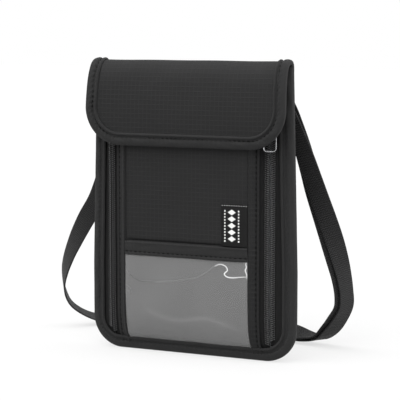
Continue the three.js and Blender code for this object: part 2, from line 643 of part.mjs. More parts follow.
const slotWidth = WEBBING + 1;
const glidePlate = toSolid(block(GLIDE.width, GLIDE.thickness, GLIDE.length));
const glideSlots = [-1, 1].map((sign) => toSolid(
  block(slotWidth, GLIDE.thickness + 1, GLIDE.slot, 0, 0, sign * (GLIDE.middle + GLIDE.slot) / 2)));
const slottedPlate = glidePlate.subtract(glideSlots[0]).subtract(glideSlots[1]);
const glide = addMesh('tri_glide', toGeometry(slottedPlate), BLACK_METAL);
glide.position.copy(glideRow(0, GLIDE.inward).point);
glide.quaternion.setFromRotationMatrix(new THREE.Matrix4().makeBasis(
  glideFrame.across, glideFrame.out, glideFrame.along));

export default pouch;
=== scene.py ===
"""Looks for the neck pouch wallet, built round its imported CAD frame.

Lengths are millimetres in the pouch's own seam frame: X across, -Y out of the front, Z up, and
y = 0 in the plane of the side seam. add_piece() turns them into metres in the row's frame.
"""
import math

import bpy
import numpy as np
from mathutils import Matrix, Vector


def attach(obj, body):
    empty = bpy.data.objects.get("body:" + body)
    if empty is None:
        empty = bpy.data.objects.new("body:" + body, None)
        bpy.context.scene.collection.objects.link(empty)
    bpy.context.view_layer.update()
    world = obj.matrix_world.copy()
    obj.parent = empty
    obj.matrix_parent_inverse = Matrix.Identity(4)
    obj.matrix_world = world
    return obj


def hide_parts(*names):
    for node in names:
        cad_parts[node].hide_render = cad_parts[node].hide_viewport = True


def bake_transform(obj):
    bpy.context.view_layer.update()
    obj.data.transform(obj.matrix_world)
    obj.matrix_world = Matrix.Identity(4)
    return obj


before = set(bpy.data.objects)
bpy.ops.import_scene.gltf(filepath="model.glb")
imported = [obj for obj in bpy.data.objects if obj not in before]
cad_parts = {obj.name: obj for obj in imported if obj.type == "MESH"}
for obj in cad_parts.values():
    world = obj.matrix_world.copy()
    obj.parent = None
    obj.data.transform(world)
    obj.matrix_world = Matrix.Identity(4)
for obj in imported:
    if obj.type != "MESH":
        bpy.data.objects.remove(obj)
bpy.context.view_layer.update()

# ---- Driving dimensions, the same as the CAD's ----

MM = 0.001
FULL_TURN = 2 * math.pi
SEAM_Y = 2.75
HALF_LOW, HALF_TOP, TAPER_FROM, FOLD_Z = 76.0, 72.5, 60.0, 199.0
CORNER, BINDING, RIM = 22.0, 9.3, 2.25
PANEL_HALF, FRONT_DEPTH, EDGE_DEPTH, BACK_DEPTH = 45.8, 10.9, 3.0, 4.4
SIDE_ANGLE = math.radians(20)
BODY_TOP, MOUTH = 193.0, 188.0
FRONT_LOW, FRONT_TOP = 3.8, MOUTH - 1.4         # where the front's layers end inside their bindings
LINING_TOP = MOUTH - 1.6
ZIP_X, TAPE_SUNK = 59.0, 0.9
RIGHT_SLIDER_Z, LEFT_SLIDER_Z = 153.8, 166.0
PULL_WIDTH, PULL_LENGTH, PULL_WIRE = 8.0, 11.6, 0.45
PULL_WIRE_DRAWN = 0.86 * PULL_WIRE              # the solid wire is thicker, to be sound
PULL_PIVOT_Y, PULL_PIVOT_Z = -2.9, -2.2
WINDOW_TOP, WINDOW_TAPE, WINDOW_BOTTOM = 76.1, 9.3, 8.6
LABEL_LEFT, LABEL_RIGHT, LABEL_BOTTOM, LABEL_TOP = 26.4, 45.4, 76.6, 104.6
FLAP_HALF_LOW, FLAP_HALF_TOP, FLAP_CORNER, FLAP_BINDING, FLAP_RIM = 74.5, 72.6, 26.0, 8.8, 1.55
WEBBING, WEBBING_T = 13.0, 1.2
RING_TILT = math.radians(24)
RING_AT = np.array([56.0, 8.0, 181.5])
RING_WIDTH, RING_LENGTH, RING_WIRE, RING_WRAP = 16.4, 8.5, 1.0, 2.5
WIRE_SIDES, PULL_CORNER, RING_CORNER = 16, 2.2, 2.4
GLIDE_AT = 330.0
GLIDE_INWARD = 3.6

STITCH_PITCH, STITCH_LENGTH, STITCH_RADIUS = 3.5, 2.5, 0.31
STITCH_RINGS, STITCH_SIDES = 7, 6
RIPSTOP_GRID, RIPSTOP_THREAD = 3.1, 0.32
WEBBING_COLUMN, WEBBING_FLOAT = 1.08, 1.66

# ---- Camera and room ----

CAMERA_AT = (488.33, -985.67, 225.17)
CAMERA_BACK = Vector((0.43748, -0.89262, 0.10884)).normalized()
CAMERA_LENS = 148.41
SENSOR = 36.0
WALL_FADE = (0.12, 0.34, 1.0, 0.7)      # from and to which height, and the strength at each
SOFTBOXES = {       # strength, how many degrees across, and the direction it shines from
    "overhead": (5.2, 80, (-0.05, -0.5, 1.0)),
    "side": (2.2, 45, (1.0, 0.25, 0.3)),
}
FLOOR_WHITE, FLOOR_GLOW = 0.15, 0.66


def metres(points):
    """Seam-frame millimetres to row-frame metres."""
    return (np.asarray(points, float) + np.array([0, SEAM_Y, 0])) * MM


def linked(name, data):
    made = bpy.data.objects.new(name, data)
    bpy.context.scene.collection.objects.link(made)
    return made


def add_camera():
    data = bpy.data.cameras.new("camera")
    data.lens = CAMERA_LENS
    data.sensor_width = SENSOR
    data.clip_start, data.clip_end = 0.01, 50
    camera = linked("camera", data)
    right = Vector((0, 0, 1)).cross(CAMERA_BACK).normalized()
    up = CAMERA_BACK.cross(right)
    turn = Matrix((right, up, CAMERA_BACK)).transposed().to_4x4()
    camera.matrix_world = Matrix.Translation(metres(CAMERA_AT)) @ turn
    bpy.context.scene.camera = camera


def add_softbox(name, strength, softness, direction):
    data = bpy.data.lights.new(name, "SUN")
    data.energy = strength
    data.angle = math.radians(softness)
    linked(name, data).rotation_euler = Vector(direction).to_track_quat("Z", "Y").to_euler()


def add_walls():
    """The studio's walls: white round the floor, and dimmer higher up."""
    world = bpy.data.worlds.new("studio")
    bpy.context.scene.world = world
    world.use_nodes = True
    nodes, links = world.node_tree.nodes, world.node_tree.links
    direction = nodes.new("ShaderNodeTexCoord")
    parts = nodes.new("ShaderNodeSeparateXYZ")
    fade = nodes.new("ShaderNodeMapRange")
    for socket, value in zip(("From Min", "From Max", "To Min", "To Max"), WALL_FADE):
        fade.inputs[socket].default_value = value
    links.new(direction.outputs["Generated"], parts.inputs[0])
    links.new(parts.outputs["Z"], fade.inputs["Value"])
    links.new(fade.outputs["Result"], nodes["Background"].inputs["Strength"])
    nodes["Background"].inputs["Color"].default_value = (1, 1, 1, 1)


def add_room():
    add_walls()
    for name, (strength, softness, direction) in SOFTBOXES.items():
        add_softbox(name, strength, softness, direction)
    bpy.ops.mesh.primitive_plane_add(size=12, location=(0, 0, 0))
    floor = bpy.context.object
    floor.name = "floor"
    paper = bpy.data.materials.new("floor_paper")
    paper.use_nodes = True
    shader = paper.node_tree.nodes["Principled BSDF"]
    shader.inputs["Base Color"].default_value = (FLOOR_WHITE, FLOOR_WHITE, FLOOR_WHITE, 1)
    shader.inputs["Emission Color"].default_value = (1, 1, 1, 1)
    shader.inputs["Emission Strength"].default_value = FLOOR_GLOW
    shader.inputs["Roughness"].default_value = 0.9
    shader.inputs["Specular IOR Level"].default_value = 0.1
    floor.data.materials.append(paper)
    bpy.context.scene.view_settings.view_transform = "Standard"


add_camera()
add_room()

# ---- Materials ----


class Shader:
    """A Principled material and short ways to add the nodes that its weave is made of."""

    def __init__(self, name, roughness, metallic=0.0, specular=0.5):
        self.material = bpy.data.materials.new(name)
        self.material.use_nodes = True
        self.tree = self.material.node_tree
        self.bsdf = self.tree.nodes["Principled BSDF"]
        self.set("Roughness", roughness)
        self.set("Metallic", metallic)
        self.set("Specular IOR Level", specular)

    def set(self, socket, value):
        self.bsdf.inputs[socket].default_value = value

    def node(self, kind, **inputs):
        made = self.tree.nodes.new(kind)
        for key, value in inputs.items():
            self.plug(made.inputs[key.replace("_", " ")], value)
        return made

    def plug(self, socket, value):
        if isinstance(value, bpy.types.NodeSocket):
            self.tree.links.new(value, socket)
        else:
            socket.default_value = value

    def math(self, operation, *values):
        made = self.tree.nodes.new("ShaderNodeMath")
        made.operation = operation
        for socket, value in zip(made.inputs, values):
            self.plug(socket, value)
        return made.outputs[0]

    def times(self, a, b):
        return self.math("MULTIPLY", a, b)

    def times_plus(self, a, b, c):
        return self.math("MULTIPLY_ADD", a, b, c)

    def cloth_uv(self):
        """The two lengths along the cloth, in millimetres: across, and along."""
        uv = self.tree.nodes.new("ShaderNodeUVMap")
        uv.uv_map = "cloth"
        parts = self.node("ShaderNodeSeparateXYZ", Vector=uv.outputs["UV"])
        return parts.outputs["X"], parts.outputs["Y"]

    def wave(self, length, pitch, shift=0.0):
        """A smooth wave from 0 to 1 along `length`, once every `pitch`."""
        turns = self.times(length, FULL_TURN / pitch)
        swing = self.math("SINE", self.math("ADD", turns, shift))
        return self.times_plus(swing, 0.5, 0.5)

    def noise(self, scale, detail=3.0):
        """Object-space noise, about 0 to 1; scale is in features per metre."""
        where = self.tree.nodes.new("ShaderNodeTexCoord")
        made = self.node("ShaderNodeTexNoise", Vector=where.outputs["Object"], Scale=scale, Detail=detail)
        return made.outputs["Fac"]

    def blend(self, share, low, high):
        mix = self.tree.nodes.new("ShaderNodeMix")
        mix.data_type = "RGBA"
        self.plug(mix.inputs["Factor"], share)
        for socket, value in zip((mix.inputs[6], mix.inputs[7]), (low, high)):
            self.plug(socket, (*value, 1) if isinstance(value, tuple) else value)
        return mix.outputs[2]

    def mottled(self, color, low, high, scale, detail=3.0):
        """The colour made unevenly darker and lighter, between two factors."""
        return self.blend(self.noise(scale, detail), scaled(color, low), scaled(color, high))

    def finish(self, color, height=None, depth=0.0, roughness=None):
        self.plug(self.bsdf.inputs["Base Color"], color)
        if height is not None:
            bump = self.node("ShaderNodeBump", Strength=1.0, Distance=depth * MM, Height=height)
            self.tree.links.new(bump.outputs["Normal"], self.bsdf.inputs["Normal"])
        if roughness is not None:
            self.plug(self.bsdf.inputs["Roughness"], roughness)
        return self.material


def scaled(color, factor):
    return tuple(min(1.0, c * factor) for c in color)


def sheen(shader, weight, roughness):
    shader.set("Sheen Weight", weight)
    shader.set("Sheen Roughness", roughness)


def plain_weave(shader, u, v, pitch):
    """Over-and-under threads: a raised checker with a dip between neighbouring threads."""
    warp, weft = shader.wave(u, 2 * pitch), shader.wave(v, 2 * pitch)
    both = shader.times(warp, weft)
    no_warp, no_weft = shader.math("SUBTRACT", 1.0, warp), shader.math("SUBTRACT", 1.0, weft)
    return shader.math("ADD", both, shader.times(no_warp, no_weft))


def ripstop_cloth(name, color):
    """Thin dense nylon with a thicker thread every few millimetres each way; the raised grid threads carry a
    painted highlight.
    """
    shader = Shader(name, 0.55, specular=0.12)
    sheen(shader, 0.02, 0.5)
    u, v = shader.cloth_uv()
    grid = 0.0
    for length in (u, v):
        line = shader.math("POWER", shader.wave(length, RIPSTOP_GRID), 26.0)
        grid = shader.math("MAXIMUM", grid, line)
    weave = plain_weave(shader, u, v, RIPSTOP_THREAD)
    height = shader.times_plus(grid, 1.6, shader.times(weave, 0.55))
    cloudy = shader.mottled(color, 0.86, 1.16, 28.0)
    thread = shader.blend(shader.times(weave, 0.5), cloudy, scaled(color, 0.7))
    # Painted highlight: the raised grid threads are painted lighter, towards 1.8 times the colour.
    lit = shader.blend(shader.times(grid, 0.35), thread, scaled(color, 1.8))
    rough = shader.times_plus(shader.noise(60.0), 0.16, 0.5)
    return shader.finish(lit, height, 0.07, rough)


def ribbed_tape(name, color, pitch=0.62, depth=0.12, roughness=0.72):
    """Binding tape: fine ribs across its length, with painted shade between them, so their crests read
    lighter.
    """
    shader = Shader(name, roughness, specular=0.14)
    sheen(shader, 0.03, 0.5)
    u, v = shader.cloth_uv()
    ribs = shader.wave(v, pitch)
    fibres = shader.wave(u, 0.28)
    height = shader.times_plus(fibres, 0.25, ribs)
    cloudy = shader.mottled(color, 0.8, 1.22, 120.0, 5.0)
    # Painted shade: the troughs between the ribs are painted down to 0.75 of the colour.
    lit = shader.blend(shader.times(ribs, 0.4), scaled(color, 0.75), cloudy)
    return shader.finish(lit, height, depth)


def twill_tape(name, color):
    """Zipper tape: a herringbone of fine diagonals, with painted shade in the grooves between them."""
    shader = Shader(name, 0.8, specular=0.12)
    u, v = shader.cloth_uv()
    zigzag = shader.math("PINGPONG", u, 2.2)
    slant = shader.math("ADD", zigzag, v)
    lines = shader.wave(slant, 0.75)
    tone = shader.mottled(color, 0.8, 1.25, 150.0, 4.0)
    # Painted shade: the grooves between the diagonals are painted down to 0.7 of the colour.
    lit = shader.blend(shader.times(lines, 0.45), scaled(color, 0.7), tone)
    return shader.finish(lit, lines, 0.12)


def webbing_cloth(name, color):
    """Strap webbing: columns of short raised floats, each column half a step from the next, with painted
    shade in the hollows between them.
    """
    shader = Shader(name, 0.62, specular=0.18)
    sheen(shader, 0.04, 0.4)
    u, v = shader.cloth_uv()
    column = shader.math("FLOOR", shader.math("DIVIDE", u, WEBBING_COLUMN))
    odd = shader.times(shader.math("PINGPONG", column, 1.0), 0.5 * math.pi)
    across = shader.times(u, math.pi / WEBBING_COLUMN)
    across = shader.math("ABSOLUTE", shader.math("SINE", across))
    turns = shader.math("ADD", shader.times(v, FULL_TURN / WEBBING_FLOAT), odd)
    along = shader.times_plus(shader.math("SINE", turns), 0.5, 0.5)
    floats = shader.times(shader.times_plus(across, 0.5, 0.5), along)
    tone = shader.mottled(color, 0.95, 1.5, 90.0, 4.0)
    # Painted shade: the hollows between the floats are painted down to 0.3 of the colour.
    lit = shader.blend(floats, scaled(color, 0.3), tone)
    return shader.finish(lit, floats, 0.4)


def soft_lining(name, color, pitch=0.4, contrast=0.3):
    shader = Shader(name, 0.5, specular=0.3)
    sheen(shader, 0.2, 0.4)
    u, v = shader.cloth_uv()
    weave = plain_weave(shader, u, v, pitch)
    tone = shader.mottled(color, 0.9, 1.1, 40.0)
    lit = shader.blend(shader.times(weave, contrast), tone, scaled(color, 0.75))
    return shader.finish(lit, weave, 0.05)


def fuzzy_tape(name, color, scale):
    shader = Shader(name, 0.9, specular=0.1)
    sheen(shader, 0.06, 0.6)
    tangle = shader.noise(scale, 6.0)
    return shader.finish(shader.blend(tangle, scaled(color, 0.4), scaled(color, 1.7)), tangle, 0.9)


def sewing_thread(name, color):
    shader = Shader(name, 0.75, specular=0.08)
    twist = shader.noise(1400.0, 2.0)
    return shader.finish(shader.blend(twist, scaled(color, 0.7), scaled(color, 1.3)), twist, 0.06)


def nylon_coil(name, color):
    shader = Shader(name, 0.36, specular=0.5)
    tone = shader.noise(500.0, 3.0)
    rough = shader.times_plus(tone, 0.2, 0.28)
    return shader.finish(shader.blend(tone, scaled(color, 0.8), scaled(color, 1.25)), tone, 0.03, rough)


def metal(name, color, roughness, worn=None, metallic=1.0):
    shader = Shader(name, roughness, metallic=metallic)
    marks = shader.noise(900.0, 6.0)
    rough = shader.times_plus(marks, 0.14, roughness - 0.06)
    tone = shader.blend(marks, scaled(color, 0.9), worn or scaled(color, 1.08))
    return shader.finish(tone, marks, 0.012, rough)


def clear_sheet(name):
    """Clear soft PVC: its light creases are whitened, as stress whitening with a painted highlight, and its
    dark creases are painted near black as painted shade.
    """
    shader = Shader(name, 0.16, specular=0.5)
    crease = shader.tree.nodes.new("ShaderNodeAttribute")
    crease.attribute_name = "crease"
    light = shader.math("MAXIMUM", crease.outputs["Fac"], 0.0)
    dark = shader.math("MAXIMUM", shader.times(crease.outputs["Fac"], -1.0), 0.0)
    haze = shader.blend(shader.noise(35.0), (0.24, 0.24, 0.24), (0.32, 0.32, 0.32))
    # Light creases: stress whitening with a painted highlight, towards 0.85 grey.
    whitened_and_highlit = shader.blend(light, haze, (0.85, 0.85, 0.85))
    # Dark creases: painted shade, near black.
    shaded = shader.blend(dark, whitened_and_highlit, (0.004, 0.004, 0.004))
    creased = shader.math("ADD", light, dark)
    alpha = shader.math("MINIMUM", shader.times_plus(creased, 0.9, 0.2), 1.0)
    shader.plug(shader.bsdf.inputs["Alpha"], alpha)
    handling = shader.noise(45.0, 1.0)
    rough = shader.times_plus(handling, 0.12, 0.1)
    return shader.finish(shaded, handling, 0.05, rough)


RIPSTOP = ripstop_cloth("ripstop_nylon", (0.0114, 0.0114, 0.0116))
PLAIN = ripstop_cloth("placket_nylon", (0.0102, 0.0102, 0.0104))
BIND = ribbed_tape("binding_tape", (0.0178, 0.0178, 0.0180))
TAPE = twill_tape("zipper_tape", (0.0115, 0.0115, 0.0117))
COIL = nylon_coil("zipper_coil", (0.0110, 0.0110, 0.0112))
LINING = soft_lining("shielding_lining", (0.16, 0.165, 0.17))
BACKING = soft_lining("pocket_backing", (0.050, 0.050, 0.050), 0.5, 0.1)
PVC = clear_sheet("clear_pvc")
LABEL = ribbed_tape("label_satin", (0.0035, 0.0035, 0.0035), 0.3, 0.03, 0.5)
LABEL_THREAD = soft_lining("label_white_thread", (0.62, 0.62, 0.61), 0.25)
HOOKS = fuzzy_tape("hook_tape", (0.0075, 0.0075, 0.0078), 1800.0)
LOOPS = fuzzy_tape("loop_tape", (0.0085, 0.0085, 0.0088), 1100.0)
WEB = webbing_cloth("strap_webbing", (0.0150, 0.0150, 0.0153))
THREAD = sewing_thread("black_thread", (0.0016, 0.0016, 0.0016))
WHITE_THREAD = sewing_thread("white_thread", (0.45, 0.45, 0.45))
WIRE = metal("polished_wire", (0.36, 0.36, 0.37), 0.26)
ENAMEL = metal("black_enamel", (0.018, 0.018, 0.019), 0.36, worn=(0.035, 0.035, 0.036), metallic=0.3)

# ---- Mesh making ----


def volume(verts, faces):
    total = 0.0
    for f in faces:
        a, b, c = verts[f[:, 0]], verts[f[:, 1]], verts[f[:, 2]]
        total += np.einsum("ij,ij->", a, np.cross(b, c))
        if f.shape[1] == 4:
            total += np.einsum("ij,ij->", a, np.cross(c, verts[f[:, 3]]))
    return total


def add_piece(name, verts, faces, material, slot, uv=None, body="pouch", replaces=(), sharp=45, ride=True):
    """A mesh object from seam-frame points. faces is a list of arrays of quads or triangles, which
    are turned over together if they face inwards."""
    mesh = bpy.data.meshes.new(name)
    if volume(verts, faces) < 0:
        faces = [f[:, ::-1] for f in faces]
    loops = np.concatenate([f.ravel() for f in faces]).astype(np.int32)
    sizes = np.concatenate([np.full(len(f), f.shape[1]) for f in faces])
    mesh.vertices.add(len(verts))
    mesh.vertices.foreach_set("co", metres(verts).astype(np.float32).ravel())
    mesh.loops.add(len(loops))
    mesh.loops.foreach_set("vertex_index", loops)
    mesh.polygons.add(len(sizes))
    mesh.polygons.foreach_set("loop_start", (np.cumsum(sizes) - sizes).astype(np.int32))
    mesh.update(calc_edges=True)
    mesh.validate()
    if uv is not None:
        layer = mesh.uv_layers.new(name="cloth")
        index = np.zeros(len(mesh.loops), np.int32)
        mesh.loops.foreach_get("vertex_index", index)
        layer.data.foreach_set("uv", uv[index].astype(np.float32).ravel())
    mesh.shade_smooth()
    mesh.set_sharp_from_angle(angle=math.radians(sharp))
    mesh.materials.append(material)
    piece = linked(name, mesh)
    if ride:
        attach(piece, body)
    if replaces:
        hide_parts(*replaces)
    return piece


def quads(index):
    """The quads of a grid of vertex numbers."""
    return np.stack([index[:-1, :-1], index[:-1, 1:], index[1:, 1:], index[1:, :-1]], -1).reshape(-1, 4)


def skin_faces(rows, columns):
    """Faces of a closed skin between two grids of points, the second numbered after the first."""
    index = np.arange(rows * columns).reshape(rows, columns)
    rim = np.concatenate([index[0, :-1], index[:-1, -1], index[-1, :0:-1], index[:0:-1, 0]])
    after = np.roll(rim, -1)
    edge = np.stack([rim, rim + rows * columns, after + rows * columns, after], -1)
    return [quads(index), quads(index + rows * columns)[:, ::-1], edge]


def lengths(points):
    """Distance along a polyline at each of its points."""
    return np.concatenate([[0], np.cumsum(np.linalg.norm(np.diff(points, axis=0), axis=1))])


def shell(name, outer, inner, material, slot, uv=None, **options):
    """A closed skin between two grids of points, rows by columns by 3."""
    rows, columns, _ = outer.shape
    verts = np.concatenate([outer.reshape(-1, 3), inner.reshape(-1, 3)])
    if uv is None:
        steps = np.linalg.norm(np.diff(outer, axis=1), axis=-1)
        across = np.cumsum(np.pad(steps, ((0, 0), (1, 0))), axis=1)
        across = across - across[:, columns // 2:columns // 2 + 1]
        along = lengths(outer[:, columns // 2])
        uv = np.stack(np.broadcast_arrays(across, along[:, None]), -1)
    uv = np.tile(uv.reshape(-1, 2), (2, 1))
    return add_piece(name, verts, skin_faces(rows, columns), material, slot, uv, **options)


def normals_of(grid, towards):
    """Unit normals of a grid of points, turned to the side of `towards`."""
    normal = np.cross(np.gradient(grid, axis=0), np.gradient(grid, axis=1))
    normal /= np.linalg.norm(normal, axis=-1, keepdims=True)
    sign = np.where(np.einsum("...k,k->...", normal, np.array(towards, float)) < 0, -1.0, 1.0)
    return normal * sign[..., None]


def cloth(name, grid, thickness, towards, material, slot, **options):
    """A sheet whose outer face is `grid`, with its thickness on the other side."""
    inner = grid - normals_of(grid, towards) * thickness
    return shell(name, grid, inner, material, slot, **options)


def lathe_faces(rings, sides, copies=1):
    """Faces of a closed body whose rings of points are joined in order, with fanned ends, and of
    any copies of it that are numbered after it."""
    index = np.arange(rings * sides).reshape(rings, sides)
    index = np.concatenate([index, index[:, :1]], 1)
    ends = []
    for ring, flip in ((index[0, :-1], True), (index[-1, :-1], False)):
        fan = np.stack([np.full(sides - 2, ring[0]), ring[1:-1], ring[2:]], -1)
        ends.append(fan[:, ::-1] if flip else fan)
    step = np.arange(copies)[:, None, None] * rings * sides
    return [(f[None] + step).reshape(-1, f.shape[1]) for f in (quads(index)[:, ::-1], np.concatenate(ends))]


def read_off(where, at, values):
    """Rows of `values`, which stand at the lengths `at`, read off at the lengths `where`."""
    return np.stack([np.interp(where, at, column) for column in np.asarray(values, float).T], -1)


def resample(points, step, *others):
    """The polyline's points every `step`, with other per-point values carried along."""
    at = lengths(points)
    count = max(2, int(round(at[-1] / step)) + 1)
    where = np.linspace(0, at[-1], count)
    carried = [read_off(where, at, values) for values in (points, *others)]
    return carried if others else carried[0]


def unit(vectors):
    return vectors / np.maximum(np.linalg.norm(vectors, axis=-1, keepdims=True), 1e-9)


def heading(points):
    """The unit direction along a polyline at each of its points."""
    return unit(np.gradient(points, axis=0))


def square_to(along, vectors):
    """The part of each vector that is square to `along`, as a unit vector."""
    return unit(vectors - along * np.einsum("ij,ij->i", vectors, along)[:, None])


def stitches(name, points, normals, material=THREAD, slot="binding", pitch=STITCH_PITCH,
             length=STITCH_LENGTH, radius=STITCH_RADIUS, lift=0.1, **options):
    """A run of sewing stitches along a polyline: each dips into the cloth at both ends. normals is
    the way out of the cloth, at each point or for all of them."""
    points, normals = resample(points, pitch, np.broadcast_to(normals, points.shape))
    along = heading(points)
    normals = square_to(along, normals)
    t = np.linspace(-1, 1, STITCH_RINGS)
    turn = np.linspace(0, FULL_TURN, STITCH_SIDES, endpoint=False)
    thick = radius * np.sqrt(1 - (0.9 * t) ** 2)
    rise = lift - 2.2 * radius * t ** 4
    template = np.stack([
        np.broadcast_to((t * length / 2)[:, None], (STITCH_RINGS, STITCH_SIDES)),
        thick[:, None] * np.cos(turn)[None],
        rise[:, None] + thick[:, None] * np.sin(turn)[None],
    ], -1).reshape(-1, 3)
    axes = np.stack([along, np.cross(normals, along), normals], 1)
    verts = points[:, None, :] + np.einsum("pk,nkj->npj", template, axes)
    faces = lathe_faces(STITCH_RINGS, STITCH_SIDES, len(points))
    return add_piece(name, verts.reshape(-1, 3), faces, material, slot, sharp=80, **options)


# ---- The body's surfaces ----


def lerp(a, b, t):
    return a + (b - a) * t


def smoothstep(x, low, high):
    t = np.clip((np.asarray(x, float) - low) / (high - low), 0, 1)
    return t * t * (3 - 2 * t)


def bell(x, middle, width):
    return np.exp(-((np.asarray(x, float) - middle) / width) ** 2)


def ripple(u, v, size, amount, seed):
    """Soft unevenness: a fixed sum of long waves that run in several directions."""
    random = np.random.default_rng(seed)
    total = 0.0
    for _ in range(8):
        angle, phase = random.uniform(0, math.pi), random.uniform(0, FULL_TURN)
        wavelength = size * random.uniform(0.55, 1.8)
        total = total + np.sin(FULL_TURN * (u * math.cos(angle) + v * math.sin(angle)) / wavelength + phase)
    return amount * total / 3


def side_at(z):
    return lerp(HALF_LOW, HALF_TOP, np.clip((z - TAPER_FROM) / (FOLD_Z - TAPER_FROM), 0, 1))


def half_width(z, inset):
    r = CORNER - inset
    curved = side_at(z) - CORNER + np.sqrt(np.maximum(0, r * r - np.maximum(0, CORNER - z) ** 2))
    return np.where(z >= CORNER, side_at(z) - inset, curved)


def rim_of(x, z):
    """How far (x, z) lies inside the outline, and the direction of the nearest edge."""
    side = side_at(z)
    dx, dz = np.abs(x) - (side - CORNER), z - CORNER
    r = np.maximum(np.hypot(dx, dz), 1e-6)
    to_side = side - np.abs(x)
    corner = (z < CORNER) & (dx > 0)
    low = (z < CORNER) & ~corner & (z < to_side)
    inset = np.where(corner, CORNER - r, np.where(low, z, to_side))
    nx = np.where(corner, np.sign(x) * dx / r, np.where(low, 0, np.sign(x)))
    nz = np.where(corner, dz / r, np.where(low, -1, 0))
    return inset, nx, nz


def open_front(x, z):
    bottom = 5.5 * np.exp(-np.maximum(0, z - BINDING) / 8)
    middle = FRONT_DEPTH - bottom - 2.9 * smoothstep(z, 165, 192)
    down = np.maximum(0, np.abs(x) - PANEL_HALF) * math.tan(SIDE_ANGLE)
    return EDGE_DEPTH + (middle - EDGE_DEPTH) * np.maximum(0, 1 - down / (FRONT_DEPTH - EDGE_DEPTH))


def binding_front(x, z, inset):
    deep, nx, nz = rim_of(x, z)
    inner = open_front(x + nx * (deep - BINDING), z + nz * (deep - BINDING)) + 0.35
    return lerp(RIM, inner, np.clip(inset / BINDING, 0, 1))


def front(x, z):
    """Depth of the front fabric's outer face in front of the seam."""
    inset = rim_of(x, z)[0]
    under = binding_front(x, z, inset) - 0.9
    free = open_front(x, z) - 0.55 * (1 - smoothstep(inset, BINDING, BINDING + 3))
    return np.where(inset < BINDING, under, free)


def back(x, z):
    """Depth of the back panel's outer face behind the seam."""
    inset = rim_of(x, z)[0]
    return lerp(1.4, BACK_DEPTH, smoothstep(inset, 8, 30) * smoothstep(BODY_TOP - z, 4, 26))


def body_grid(left, right, bottom, top, columns, rows, depth):
    """Points (x, y, z) with x from left(z) to right(z) and y = depth(x, z)."""
    z = np.linspace(bottom, top, rows)[:, None]
    share = np.linspace(0, 1, columns)[None, :]
    x = left(z) + (right(z) - left(z)) * share
    z = np.broadcast_to(z, x.shape)
    return np.stack([x, depth(x, z), z], -1)


def on_front(x, z, proud):
    """Points that stand `proud` of the front fabric."""
    return np.stack(np.broadcast_arrays(x, -front(x, z) - proud, z), -1)


def full_width(inset):
    return (lambda z: -half_width(z, inset)), (lambda z: half_width(z, inset))


def band_width(half):
    return (lambda z: 0 * z - half), (lambda z: 0 * z + half)


FRONT_WAY, BACK_WAY = (0, -1, 0), (0, 1, 0)

# ---- Panels and linings ----


def panel_face(x, z):
    """The centre panel: soft, tucked under each placket, and gapping at the window pocket's mouth."""
    tuck = 0.75 * smoothstep(np.abs(x), PANEL_HALF - 1.4, PANEL_HALF + 0.4)
    gap = 0.9 * bell(z, WINDOW_TOP + 0.5, 0.8) * smoothstep(PANEL_HALF - np.abs(x), 0, 4)
    return -front(x, z) + tuck + gap - ripple(x, z, 46, 0.16, 3)


def back_face(x, z):
    soft = smoothstep(rim_of(x, z)[0], 9, 24)
    return back(x, z) + soft * ripple(x, z, 60, 0.22, 5)


def back_lining_face(x, z):
    step = lerp(0.95, 1.35, np.clip((back(x, z) - 1.4) / 0.8, 0, 1))
    return back(x, z) - step - 0.4


def front_lining_face(x, z):
    return 1.05 - front(x, z)


def divider_face(x, z):
    reach = np.clip(front(x, z) - 3.5, 0.6, 4.8)
    joined = np.maximum(0.6, front(x, z) - 1.8)
    return -lerp(reach, joined, smoothstep(z, 172, 178))


BODY_LOW = 2.2
# Piece, the solid it stands for, its sides, bottom, top, columns, rows, face, thickness, way and looks.
for piece, node, sides, low, high, columns, rows, face, thickness, way, looks in (
    ("front_panel", "front_panel", band_width(PANEL_HALF + 0.2), FRONT_LOW, FRONT_TOP, 90, 460, panel_face,
     0.5, FRONT_WAY, (RIPSTOP, "ripstop")),
    ("back_panel", "back_panel", full_width(2), BODY_LOW, BODY_TOP + 1.2, 120, 160, back_face,
     0.6, BACK_WAY, (RIPSTOP, "ripstop")),
    ("back_lining", "rfid_back_lining", full_width(2.2), BODY_LOW, BODY_TOP - 0.5, 70, 90, back_lining_face,
     0.3, FRONT_WAY, (LINING, "lining")),
    ("divider", "inner_divider", full_width(2), BODY_LOW, LINING_TOP, 110, 110, divider_face,
     0.35, FRONT_WAY, (LINING, "lining")),
    ("front_lining", "front_lining", band_width(48.2), FRONT_LOW, LINING_TOP, 60, 90, front_lining_face,
     0.3, FRONT_WAY, (LINING, "lining")),
):
    grid = body_grid(*sides, low, high, columns, rows, face)
    cloth(f"{piece}_cloth", grid, thickness, way, *looks, replaces=(node,))

# ---- Bindings: tape folded round an edge ----

TAPE_T = 0.6
NOSE = 1.7                         # the fold's rounded nose reaches this far in from the edge
STITCH_IN = 3.0                    # from a binding's inner edge to its stitches
NOSE_TURN = np.linspace(0, math.pi, 15)


def rounded_path(side, high, low, radius, step):
    """The edge from the top of the left side, round the bottom, to the top of the right side.
    Returns points (x, v), the outward direction at each, and the length along it."""
    corner_x = side(low + radius) - radius
    bottom = np.arange(0, corner_x, step)
    arc = np.linspace(0, math.pi / 2, int(radius * math.pi / 2 / step))
    rise = np.linspace(low + radius, high, int((high - low - radius) / step))[1:]
    x = np.concatenate([bottom, corner_x + radius * np.sin(arc), side(rise)])
    v = np.concatenate([np.full(len(bottom), low), low + radius - radius * np.cos(arc), rise])
    nx = np.concatenate([0 * bottom, np.sin(arc), 0 * rise + 1])
    nv = np.concatenate([0 * bottom - 1, -np.cos(arc), 0 * rise])
    points = np.stack([np.concatenate([-x[:0:-1], x]), np.concatenate([v[:0:-1], v])], -1)
    outward = np.stack([np.concatenate([-nx[:0:-1], nx]), np.concatenate([nv[:0:-1], nv])], -1)
    return points, outward, lengths(points)


